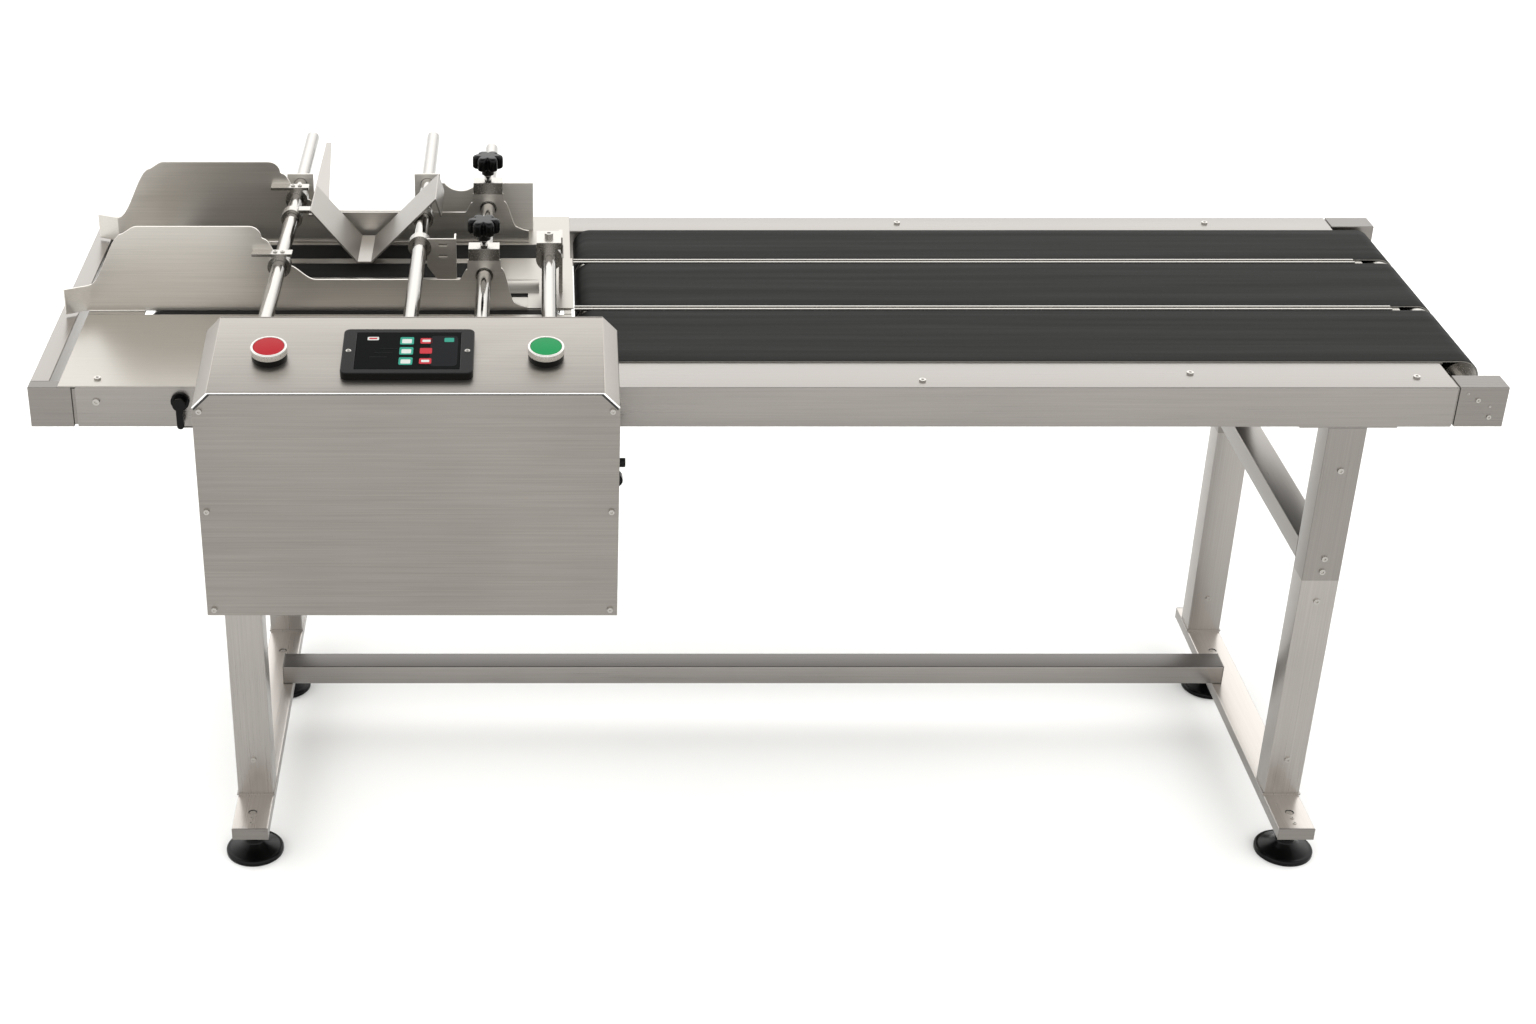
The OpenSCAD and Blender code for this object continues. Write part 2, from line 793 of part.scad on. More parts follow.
// Clamp ring around a rod, from y0 to y1
module rod_ring(at, y0, y1, r = collar_r) {
    difference() {
        bar_y(at, r, y0, y1);
        bar_y(at, grip_r, y0 - 1, y1 + 1);
    }
}

// Rings that seat the rods on the box, retaining rings in the grooves of the
// long rods, and the double clamp on the short rod
module rod_collars() {
    ring_ys = [rod_d_end - 45, rod_d_end - 16];
    ring_r = collar_r + 2;
    top_z = rod_d[1] + ring_r - 4;
    leg_x = rod_d[0] + ring_r - 4;
    color("gainsboro") {
        for (at = [rod_a, rod_b, rod_c, rod_d]) rod_ring(at, 0, 10);
        for (at = [rod_a, rod_b, rod_c]) difference() {
            bar_y(at, rod_r + 3, groove_y + run_clear, groove_y + groove_w - run_clear);
            bar_y(at, groove_r + run_clear, groove_y - 1, groove_y + groove_w + 1);
        }
        difference() {
            union() {
                for (y = ring_ys) bar_y(rod_d, ring_r, y, y + 14);
                block([rod_d[0] - 17, ring_ys[0] - 1, top_z], [rod_d[0] + 17, ring_ys[1] + 15, top_z + 10]);
                block([leg_x, ring_ys[0], deck_z + 1.8], [leg_x + 5, ring_ys[0] + 14, rod_d[1] + 2]);
                block([leg_x, ring_ys[1], deck_z + 1.8], [leg_x + 5, ring_ys[1] + 30, rod_d[1] + 20]);
            }
            bar_y(rod_d, grip_r, ring_ys[0] - 2, rod_d_end + 20);
        }
        translate([rod_d[0], (ring_ys[0] + ring_ys[1] + 14) / 2, top_z + 10]) screw_head(6, 6);
    }
}

// Upright plate behind the bed that holds the far ends of the long rods
module rear_rod_plate() {
    plate_y = rear_rail_y;
    tower_w = 19;
    tower_z = rod_a[1] + 16;
    low_z = table_h + 32;
    high_z = table_h + 75;
    x0 = rod_a[0] - tower_w;
    x1 = rod_c[0] + 65;
    curve_r = 30;
    color("silver") difference() {
        union() {
            along_y(plate_y, plate_y + plate_t) difference() {
                union() {
                    translate([x0, deck_z]) square([x1 - x0, low_z - deck_z]);
                    for (at = [rod_a, rod_b])
                        translate([at[0] - tower_w, deck_z]) square([2 * tower_w, tower_z - deck_z]);
                    translate([rod_b[0], deck_z]) square([x1 - rod_b[0], high_z - deck_z]);
                }
                translate([rod_b[0] + tower_w + curve_r, high_z + curve_r - 12]) circle(r = curve_r);
            }
            block([x0, plate_y + plate_t, deck_z], [x1, plate_y + plate_t + 30, deck_z + 3]);
        }
        for (at = [rod_a, rod_b, rod_c]) bar_y(at, grip_r, plate_y - 1, plate_y + plate_t + 1);
    }
}

// ---------- Side guides ----------

// Flat outline of a guide plate, as points of x and height above the plate's foot
function s_curve(x0, z0, x1, z1) =
    [for (t = [0:0.1:1]) [x0 + (x1 - x0) * t, z0 + (z1 - z0) * (1 - cos(180 * t)) / 2]];
function corner(x, z, r, a0, a1) =
    [for (t = [0:0.2:1]) [x + r * cos(a0 + (a1 - a0) * t), z + r * sin(a0 + (a1 - a0) * t)]];

guide_fold_x = 40;
flare_w = 34;
flare_h = 36;
tower_half = 22;
tower_h = 74;

module guide_outline(strip_h) {
    top_r = 16;
    x_top0 = 98;
    x_top1 = 281;
    tower_x0 = rod_c[0] - tower_half;
    tower_x1 = rod_c[0] + tower_half;
    polygon(concat(
        [[guide_fold_x, 0], [640, 0], [640, strip_h], [tower_x1 + 28, strip_h + 2]],
        s_curve(tower_x1 + 20, strip_h + 6, tower_x1 + 1, tower_h - 12),
        [[tower_x1, tower_h], [tower_x0, tower_h]],
        s_curve(tower_x0 - 1, tower_h - 14, tower_x0 - 12, guide_low),
        s_curve(352, guide_low, 312, guide_low + 22),
        s_curve(308, guide_low + 26, 284, guide_tall - top_r - 2),
        corner(x_top1 - top_r, guide_tall - top_r, top_r, 0, 90),
        corner(x_top0 + top_r, guide_tall - top_r, top_r, 90, 120),
        s_curve(x_top0 - 4, guide_tall - 10, guide_fold_x, flare_h)));
}

// Guide plate with its front face at y; flare is the angle of its turned-out end
module guide_plate(y, flare, strip_h) {
    fold = [guide_fold_x + guide_t / 2, y + guide_t / 2];
    tip = fold - flare_w * [cos(flare), sin(flare)];
    difference() {
        union() {
            translate([0, 0, guide_z]) along_y(y, y + guide_t) guide_outline(strip_h);
            translate([0, 0, guide_z]) linear_extrude(flare_h) strip_2d(tip, fold, guide_t);
        }
        for (at = [rod_a, rod_c]) bar_y(at, rod_r + 2, y - 1, y + guide_t + 1);
    }
}

module front_guide_plate() {
    color("silver") guide_plate(front_guide_y, 25, 4);
}

module rear_guide_plate() {
    color("silver") guide_plate(rear_guide_y, -25, 16);
}

stud_r = 5;
block_z0 = table_h + tower_h + 4;
block_h = 17;

// Tab clamp on rod A and knob block on rod C, seated on a guide plate at y
module guide_clamps(y) {
    ring_d = 16;
    tab_t = 4;
    tab_z = rod_a[1] + collar_r - 1;
    hanger_d = 16;
    color("gainsboro") {
        difference() {
            union() {
                bar_y(rod_a, collar_r, y - ring_d, y);
                block([268, y - ring_d, tab_z], [rod_a[0] + 18, y, tab_z + tab_t]);
            }
            bar_y(rod_a, grip_r, y - ring_d - 1, y + 1);
        }
        for (x = [-5, 5]) translate([rod_a[0] + x, y - ring_d / 2, tab_z + tab_t]) screw_head(3, 1.5);
        difference() {
            union() {
                block([rod_c[0] - 21, y - 5, block_z0], [rod_c[0] + 21, y + guide_t + hanger_d, block_z0 + block_h]);
                block([rod_c[0] - 15, y + guide_t, rod_c[1] - 14],
                      [rod_c[0] + 15, y + guide_t + hanger_d, block_z0 + 1]);
            }
            bar_y(rod_c, grip_r, y, y + guide_t + hanger_d + 1);
            translate([rod_c[0], y + guide_t + hanger_d / 2, rod_c[1]]) cylinder(h = 60, r = stud_r + 0.1);
        }
    }
}

module front_guide_clamps() {
    guide_clamps(front_guide_y);
}

module rear_guide_clamps() {
    guide_clamps(rear_guide_y);
}

// Star knob with its stud, over the block of a guide plate at y
module guide_knob(y) {
    lobe_r = 6.5;
    lobes = 6;
    hub_h = 9;
    stud_z = rod_c[1] + rod_r + gap;
    translate([rod_c[0], y + guide_t + 8, 0]) {
        color("black") difference() {
            union() {
                translate([0, 0, knob_z]) cylinder(h = knob_h, r = knob_r - lobe_r - 0.5);
                for (i = [0:lobes - 1]) rotate([0, 0, i * 360 / lobes])
                    translate([knob_r - lobe_r, 0, knob_z]) cylinder(h = knob_h, r = lobe_r);
                translate([0, 0, knob_z - hub_h]) cylinder(h = hub_h + 1, r = 9);
            }
            translate([0, 0, knob_z - hub_h - 1]) cylinder(h = hub_h, r = stud_r);
        }
        color("silver") {
            translate([0, 0, stud_z]) cylinder(h = knob_z - 1 - stud_z, r = stud_r);
        }
    }
}

module front_guide_knob() {
    guide_knob(front_guide_y);
}

module rear_guide_knob() {
    guide_knob(rear_guide_y);
}

// ---------- Product support and gate ----------

module vee_support() {
    stay_z = rod_a[1] - 3;
    stay_x = 327;
    color("silver") {
        along_y(vee_y0, vee_y1) {
            strip_2d(vee_left, vee_foot_l, vee_t);
            strip_2d(vee_foot_l, vee_foot_r, vee_t);
            strip_2d(vee_foot_r, vee_right, vee_t);
            strip_2d(vee_right, vee_lip, vee_t);
        }
        // Stay that runs back beside rod A
        translate([0, 0, stay_z]) linear_extrude(vee_t) polygon([
            [stay_x, vee_y0 + 40], [351, vee_y0 + 40], [351, vee_y1],
            [stay_x + 8, rod_end_y - 20], [stay_x, rod_end_y - 20]]);
    }
}

module vee_clamps() {
    y0 = vee_y0 + 20;
    y1 = y0 + 16;
    ring_r = 15;
    tilt = atan2(vee_right[1] - vee_foot_r[1], vee_right[0] - vee_foot_r[0]);
    color("gainsboro") {
        difference() {
            union() {
                bar_y(rod_a, ring_r, y0, y1);
                block([rod_a[0] + 10, y0, rod_a[1] + 9], [335.5, y1, rod_a[1] + 14]);
            }
            bar_y(rod_a, grip_r, y0 - 1, y1 + 1);
        }
        difference() {
            rod_ring(rod_b, y0, y1, ring_r);
            // Flat that the right arm of the support lies on
            translate([vee_foot_r[0], y0 - 1, vee_foot_r[1]]) rotate([0, -tilt, 0])
                translate([0, 0, -vee_t / 2]) cube([160, y1 - y0 + 2, 30]);
        }
    }
}

gate_y = 296;
gate_t = 2.5;

module gate_plate() {
    x0 = rod_b[0] + 10;
    x1 = rod_b[0] + 50;
    z0 = table_h + 20;
    z1 = rod_b[1] + 13;
    color("silver") {
        difference() {
            along_y(gate_y - gate_t, gate_y) polygon([
                [x0 + 18, z0], [x1, z0], [x1, z1], [x0, z1], [x0, z0 + 26]]);
            for (z = [rod_b[1] - 14, rod_b[1] + 2])
                block([x0 + 16, gate_y - gate_t - 1, z], [x0 + 28, gate_y + 1, z + 4]);
            bar_y(rod_b, collar_r + gap, gate_y - gate_t - 1, gate_y + 1);
        }
        block([x1 - gate_t, gate_y - gate_t, z0], [x1, gate_y + 18, z1]);
    }
}

module gate_clamp() {
    ring_d = 16;
    color("gainsboro") difference() {
        union() {
            bar_y(rod_b, collar_r, gate_y, gate_y + ring_d);
            block([rod_b[0], gate_y, rod_b[1] - 20], [rod_b[0] + 44, gate_y + 9, rod_b[1] + 9]);
        }
        bar_y(rod_b, grip_r, gate_y - 1, gate_y + ring_d + 1);
    }
}

// ---------- Small moving parts ----------

lever_at = [195, table_h - 19];

module clamp_lever() {
    color("black") {
        bar_y(lever_at, 12, -3.5, -gap);
        bar_y(lever_at, 8.5, -14, -3.5);
        along_y(-13, -6) {
            translate([lever_at[0] - 4.5, lever_at[1] - 30]) square([9, 30]);
            translate([lever_at[0], lever_at[1] - 30]) circle(r = 4.5);
        }
    }
}

// Pad with a rim, a coned top and a blind seat for its stem; the stem passes the foot bar
module levelling_foot(x, y) {
    rim_h = 8;
    cone_h = 20;
    neck_r = 13;
    pad_h = 25;
    seat_z = 12;
    translate([x + leg_w / 2, y, 0]) {
        color("black") rotate_extrude() polygon([
            [0, 0], [foot_r - 1, 0], [foot_r, 1], [foot_r, rim_h - 2], [foot_r - 2, rim_h],
            [neck_r + 8, rim_h + 6], [neck_r, cone_h], [neck_r, pad_h - 1], [neck_r - 1, pad_h],
            [foot_stem_r + run_clear, pad_h], [foot_stem_r + run_clear, seat_z], [0, seat_z]]);
        color("silver") translate([0, 0, seat_z]) cylinder(h = bar_top - 1 - seat_z, r = foot_stem_r);
    }
}

module foot_front_left() {
    levelling_foot(leg_xs[0], foot_ys[0]);
}

module foot_front_right() {
    levelling_foot(leg_xs[1], foot_ys[0]);
}

module foot_rear_left() {
    levelling_foot(leg_xs[0], foot_ys[1]);
}

module foot_rear_right() {
    levelling_foot(leg_xs[1], foot_ys[1]);
}

place() front_rail();
place() rear_rail();
place() end_blocks();
place() infeed_crossbar();
place() bed_cross_members();
place() slider_bed();
place() gap_strips();
place() table_plates();
place() discharge_deck();
place() upper_legs();
place() lower_legs();
place() leg_splices();
place() leg_cross_tubes();
place() leg_brackets();
place() foot_bars();
place() stretcher();
place() end_caps();
place() foot_nuts();
place() frame_screws();
place() box_shell();
place() box_front_cover();
place() box_back_plate();
place() button_collars();
place() button_rings();
place() display_housing();
place() display_screen();
place() power_plate();
place() fuse_cap();
place() gear_motor();
place() inverter();
place() drive_belts();
place() guide_rods();
place() rod_collars();
place() rear_rod_plate();
place() roller_bearings();
place() conveyor_belts();
place() feed_belts();
place() drive_roller();
place() tail_roller();
place() feed_drive_roller();
place() feed_idler_roller();
place() motor_pulley();
place() front_guide_plate();
place() front_guide_clamps();
place() front_guide_knob();
place() rear_guide_plate();
place() rear_guide_clamps();
place() rear_guide_knob();
place() vee_support();
place() vee_clamps();
place() gate_plate();
place() gate_clamp();
place() stop_button();
place() start_button();
place() power_rocker();
place() clamp_lever();
place() foot_front_left();
place() foot_front_right();
place() foot_rear_left();
place() foot_rear_right();
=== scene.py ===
"""Looks of a stainless friction feeder with a three-belt delivery conveyor.

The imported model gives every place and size. This script dresses it: the steel gets folded
edges and a brushed grain, and the belts, buttons, screen tiles, cover seam, knobs and feet
are surfaces worked out with numpy. Lengths are in metres; names that end in _mm are in
millimetres.
"""

import json
import logging
import math
from dataclasses import dataclass, field
from enum import Enum

import bmesh
import bpy
import numpy as np
from mathutils import Matrix, Vector


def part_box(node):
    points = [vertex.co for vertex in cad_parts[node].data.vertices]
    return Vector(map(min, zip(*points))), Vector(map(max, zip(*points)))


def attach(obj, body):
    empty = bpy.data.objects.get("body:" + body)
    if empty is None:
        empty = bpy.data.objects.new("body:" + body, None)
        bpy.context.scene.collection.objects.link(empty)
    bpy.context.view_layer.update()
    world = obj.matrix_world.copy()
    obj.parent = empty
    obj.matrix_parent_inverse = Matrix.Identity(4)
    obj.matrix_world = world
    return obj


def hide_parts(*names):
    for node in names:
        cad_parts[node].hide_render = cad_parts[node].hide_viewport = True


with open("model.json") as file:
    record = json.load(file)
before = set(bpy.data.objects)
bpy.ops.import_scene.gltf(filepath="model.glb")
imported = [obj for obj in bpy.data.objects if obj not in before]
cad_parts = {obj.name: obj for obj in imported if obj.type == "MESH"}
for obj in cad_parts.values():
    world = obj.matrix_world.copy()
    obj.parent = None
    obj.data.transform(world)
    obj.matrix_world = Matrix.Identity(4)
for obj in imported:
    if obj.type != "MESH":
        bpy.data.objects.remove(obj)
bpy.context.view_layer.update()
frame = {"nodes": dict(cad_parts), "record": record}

MM = 0.001
SAME_POINT = 0.004 * MM
LOG = logging.getLogger("feeder")
Shape = tuple[np.ndarray, np.ndarray]
Socket = bpy.types.NodeSocket
Tree = bpy.types.NodeTree
SLOT_OF = {row["node"]: row["material_slot"] for row in frame["record"]["subparts"]}
BODY_OF = {
    node: body
    for body, nodes in frame["record"]["behaviour"]["bodies"].items()
    for node in nodes
}


# ---------- Colour and node helpers ----------


def linear(code: str) -> tuple[float, float, float, float]:
    """Turns an sRGB hex colour into the linear colour that shaders take.

    Args:
        code: Six hex digits, with or without a leading hash.

    Returns:
        Red, green, blue and an alpha of one.
    """
    digits = code.lstrip("#")
    parts = np.array([int(digits[i : i + 2], 16) for i in (0, 2, 4)]) / 255
    low = parts / 12.92
    high = ((parts + 0.055) / 1.055) ** 2.4
    red, green, blue = np.where(parts <= 0.04045, low, high)
    return float(red), float(green), float(blue), 1.0


def add(
    tree: Tree, kind: str, settings: dict | None = None, links: dict | None = None
) -> bpy.types.Node:
    """Adds one shader node.

    Args:
        tree: The node tree that takes the node.
        kind: Blender's type name of the node.
        settings: Values by input name or number, or by attribute name.
        links: Output sockets by the input name or number that they feed.

    Returns:
        The new node.
    """
    node = tree.nodes.new(kind)
    for key, value in (settings or {}).items():
        if isinstance(key, str) and hasattr(node, key):
            setattr(node, key, value)
        else:
            node.inputs[key].default_value = value
    for key, source in (links or {}).items():
        tree.links.new(source, node.inputs[key])
    return node


def new_material(name: str) -> tuple[bpy.types.Material, Tree]:
    """Makes an empty node material.

    Args:
        name: The material's name.

    Returns:
        The material and its cleared node tree.
    """
    material = bpy.data.materials.new(name)
    material.use_nodes = True
    material.node_tree.nodes.clear()
    return material, material.node_tree


def close_material(tree: Tree, settings: dict, links: dict) -> None:
    """Ends a material with its surface shader and output.

    Args:
        tree: The material's node tree.
        settings: Constants of the surface shader.
        links: Sockets that feed the surface shader.
    """
    shader = add(tree, "ShaderNodeBsdfPrincipled", settings, links)
    add(tree, "ShaderNodeOutputMaterial", links={"Surface": shader.outputs[0]})


def object_place(tree: Tree) -> Socket:
    """Gives the place on the object, in metres, that every pattern here is laid out on."""
    return add(tree, "ShaderNodeTexCoord").outputs["Object"]


def noise(tree: Tree, at: Socket, scale: float, detail: float, roughness: float) -> Socket:
    """Adds a noise pattern.

    Args:
        tree: The node tree.
        at: Where the pattern is read.
        scale: Blotches per metre.
        detail: Octaves of finer noise.
        roughness: How strong the finer octaves are.

    Returns:
        A value from 0 to 1.
    """
    settings = {"Scale": scale, "Detail": detail, "Roughness": roughness}
    return add(tree, "ShaderNodeTexNoise", settings, {"Vector": at}).outputs[0]


def average(tree: Tree, first: Socket, second: Socket, share: float) -> Socket:
    """Mixes two values: share is the second one's part."""
    settings = {"data_type": "FLOAT", 0: share}
    return add(tree, "ShaderNodeMix", settings, {2: first, 3: second}).outputs[0]


def bumps(tree: Tree, height: Socket, strength: float, depth_mm: float) -> Socket:
    """Turns a pattern into a shallow relief.

    Args:
        tree: The node tree.
        height: The pattern.
        strength: How far the relief turns the light, from 0 to 1.
        depth_mm: Depth of the relief.

    Returns:
        The normal for a shader.
    """
    settings = {"Strength": strength, "Distance": depth_mm * MM}
    return add(tree, "ShaderNodeBump", settings, {"Height": height}).outputs[0]


def shaded(tree: Tree, colour: str, darker: float, brighter: float, share: Socket) -> Socket:
    """Varies a colour between a darker and a brighter shade of it.

    Args:
        tree: The node tree.
        colour: The sRGB hex colour.
        darker: Factor of the darker shade.
        brighter: Factor of the brighter shade, which stays within white.
        share: Where between the two the colour lies.

    Returns:
        The varied colour.
    """
    low, high = (
        (*(min(1.0, part * factor) for part in linear(colour)[:3]), 1.0)
        for factor in (darker, brighter)
    )
    settings = {"data_type": "RGBA", 6: low, 7: high}
    return add(tree, "ShaderNodeMix", settings, {0: share}).outputs[2]


def stretch(
    tree: Tree, source: Socket, low: float, high: float, to_low: float, to_high: float
) -> Socket:
    """Carries a range of values to another range, clamped.

    Args:
        tree: The node tree.
        source: The value to carry over.
        low: Lower end of the source's range.
        high: Upper end of the source's range.
        to_low: What the lower end becomes.
        to_high: What the upper end becomes.

    Returns:
        The socket with the new value.
    """
    settings = {1: low, 2: high, 3: to_low, 4: to_high}
    return add(tree, "ShaderNodeMapRange", settings, {0: source}).outputs[0]


def painted_light_by_slope(tree: Tree, colour: Socket, upright: float, upward: float) -> Socket:
    """Scales a colour by how far the surface looks up.

    This paints light and shade into the colour: faces that look up are made lighter or
    darker than upright ones by a fixed factor, standing in for the light that falls on them.

    Args:
        tree: The node tree.
        colour: The colour to scale.
        upright: Factor on upright faces and faces that look down.
        upward: Factor on faces that look up, reached at a slope of about 40 degrees.

    Returns:
        The scaled colour.
    """
    normal = add(tree, "ShaderNodeNewGeometry").outputs["Normal"]
    rise = add(tree, "ShaderNodeSeparateXYZ", None, {0: normal}).outputs[2]
    factor = stretch(tree, rise, 0.2, 0.75, upright, upward)
    mixed = add(
        tree,
        "ShaderNodeMix",
        {"data_type": "RGBA", "blend_type": "MULTIPLY", 0: 1.0},
        {6: colour, 7: factor},
    )
    return mixed.outputs[2]


# ---------- Finishes ----------


class Grain(Enum):
    """Direction in which a sheet or tube was brushed."""

    ALONG_X = (1, 0, 0)
    ALONG_Y = (0, 1, 0)
    ALONG_Z = (0, 0, 1)


@dataclass(frozen=True)
class BrushedSteel:
    """Stainless steel 1.4301 with a ground grain: long fine lines in one direction.

    The real lines are about 0.1 mm apart, too fine to show, so they are drawn line_mm apart.
    The eye sees a soft sheen that is streaked along the grain and a little cloudy. The colour
    is scaled by top on faces that look up: painted light and shade on the tops.
    """

    name: str
    grain: Grain
    colour: str = "#837f7b"
    roughness: float = 0.30
    line_mm: float = 1.6
    length_mm: float = 160.0
    tone: float = 0.10
    cloud_mm: float = 220.0
    # top paints light by slope: above 1 a painted highlight on faces that look up, below 1 a
    # painted shade.
    top: float = 1.0

    def build(self) -> bpy.types.Material:
        """Makes the material.

        Returns:
            A metal whose tone, roughness and relief follow the grain.
        """
        material, tree = new_material(self.name)
        place = object_place(tree)
        across, along = 1 / (self.line_mm * MM), 1 / (self.length_mm * MM)
        scale = [along if part else across for part in self.grain.value]
        lines_at = add(tree, "ShaderNodeMapping", {"Scale": scale}, {"Vector": place}).outputs[0]
        lines = noise(tree, lines_at, scale=1.0, detail=3.0, roughness=0.65)
        cloud = noise(tree, place, scale=1 / (self.cloud_mm * MM), detail=2.0, roughness=0.5)
        both = average(tree, lines, cloud, share=0.35)
        share = stretch(tree, both, 0.3, 0.7, 0.0, 1.0)
        tone = shaded(tree, self.colour, 1 - self.tone, 1 + self.tone, share)
        rough = stretch(tree, both, 0.3, 0.7, self.roughness - 0.05, self.roughness + 0.07)
        links = {
            # The tone is scaled by slope here: painted light and shade on the faces that look up.
            "Base Color": painted_light_by_slope(tree, tone, upright=1.0, upward=self.top),
            "Roughness": rough,
            "Normal": bumps(tree, lines, strength=0.10, depth_mm=0.1),
        }
        close_material(tree, {"Metallic": 1.0}, links)
        return material


@dataclass(frozen=True)
class PolishedSteel:
    """Drawn stainless bar with a polished skin: a near mirror with faint marks of turning.

    The colour is scaled by side on upright faces and those that look down: painted shade on the
    sides.
    """

    name: str
    colour: str
    roughness: float
    mark_mm: float
    # side is painted shade: below 1 it darkens the upright faces against the tops.
    side: float

    def build(self) -> bpy.types.Material:
        """Makes the material.

        Returns:
            A bright metal with slightly uneven polish.
        """
        material, tree = new_material(self.name)
        marks = noise(tree, object_place(tree), 1 / (self.mark_mm * MM), 3.0, 0.6)
        tone = shaded(tree, self.colour, 0.93, 1.05, marks)
        rough = stretch(tree, marks, 0.3, 0.7, self.roughness - 0.03, self.roughness + 0.05)
        # Painted shade: the sides are darker than the tops by the factor side.
        shade = painted_light_by_slope(tree, tone, upright=self.side, upward=1.0)
        close_material(tree, {"Metallic": 1.0}, {"Base Color": shade, "Roughness": rough})
        return material


@dataclass(frozen=True)
class Moulded:
    """Moulded plastic, rubber or paint: a fine pebbled skin over one colour.

    The eye sees a broad soft highlight that breaks up a little on the skin.
    """

    name: str
    colour: str
    roughness: float
    pebble_mm: float = 1.2
    relief: float = 0.08
    spread: float = 0.12
    specular: float = 0.5

    def build(self) -> bpy.types.Material:
        """Makes the material.

        Returns:
            A dielectric with a pebbled skin.
        """
        material, tree = new_material(self.name)
        pebbles = noise(tree, object_place(tree), 1 / (self.pebble_mm * MM), 4.0, 0.6)
        links = {
            "Base Color": shaded(tree, self.colour, 1 - self.spread, 1 + self.spread, pebbles),
            "Roughness": stretch(
                tree, pebbles, 0.3, 0.7, self.roughness * 0.9, self.roughness * 1.12
            ),
            "Normal": bumps(tree, pebbles, self.relief, depth_mm=0.2),
        }
        close_material(tree, {"Specular IOR Level": self.specular}, links)
        return material


@dataclass(frozen=True)
class BeltCover:
    """PVC belt cover with a fine woven imprint, dull and nearly black.

    The imprint is about 0.6 mm; it is drawn at weave_mm so that it shows as a fine grain.
    Wear draws it out into faint streaks along the run, wear_long_mm by wear_wide_mm.
    """

    name: str
    colour: str = "#1a1a19"
    weave_mm: float = 1.5
    wear_long_mm: float = 600.0
    wear_wide_mm: float = 14.0

    def build(self) -> bpy.types.Material:
        """Makes the material.

        Returns:
            A dull dielectric with a crossed imprint and faint lengthwise wear.
        """
        material, tree = new_material(self.name)
        place = object_place(tree)
        weave = {"Scale": 1 / (self.weave_mm * MM)}
        imprint = add(tree, "ShaderNodeTexVoronoi", weave, {"Vector": place}).outputs[0]
        streaks = {"Scale": (1 / (self.wear_long_mm * MM), 1 / (self.wear_wide_mm * MM), 1.0)}
        wear_at = add(tree, "ShaderNodeMapping", streaks, {"Vector": place}).outputs[0]
        wear = noise(tree, wear_at, scale=1.0, detail=4.0, roughness=0.6)
        mixed = average(tree, imprint, wear, share=0.45)
        share = stretch(tree, mixed, 0.25, 0.75, 0.0, 1.0)
        links = {
            "Base Color": shaded(tree, self.colour, 0.78, 1.25, share),
            "Roughness": stretch(tree, wear, 0.3, 0.7, 0.62, 0.78),
            "Normal": bumps(tree, imprint, strength=0.25, depth_mm=0.2),
        }
        close_material(tree, {"IOR": 1.45, "Specular IOR Level": 0.12}, links)
        return material


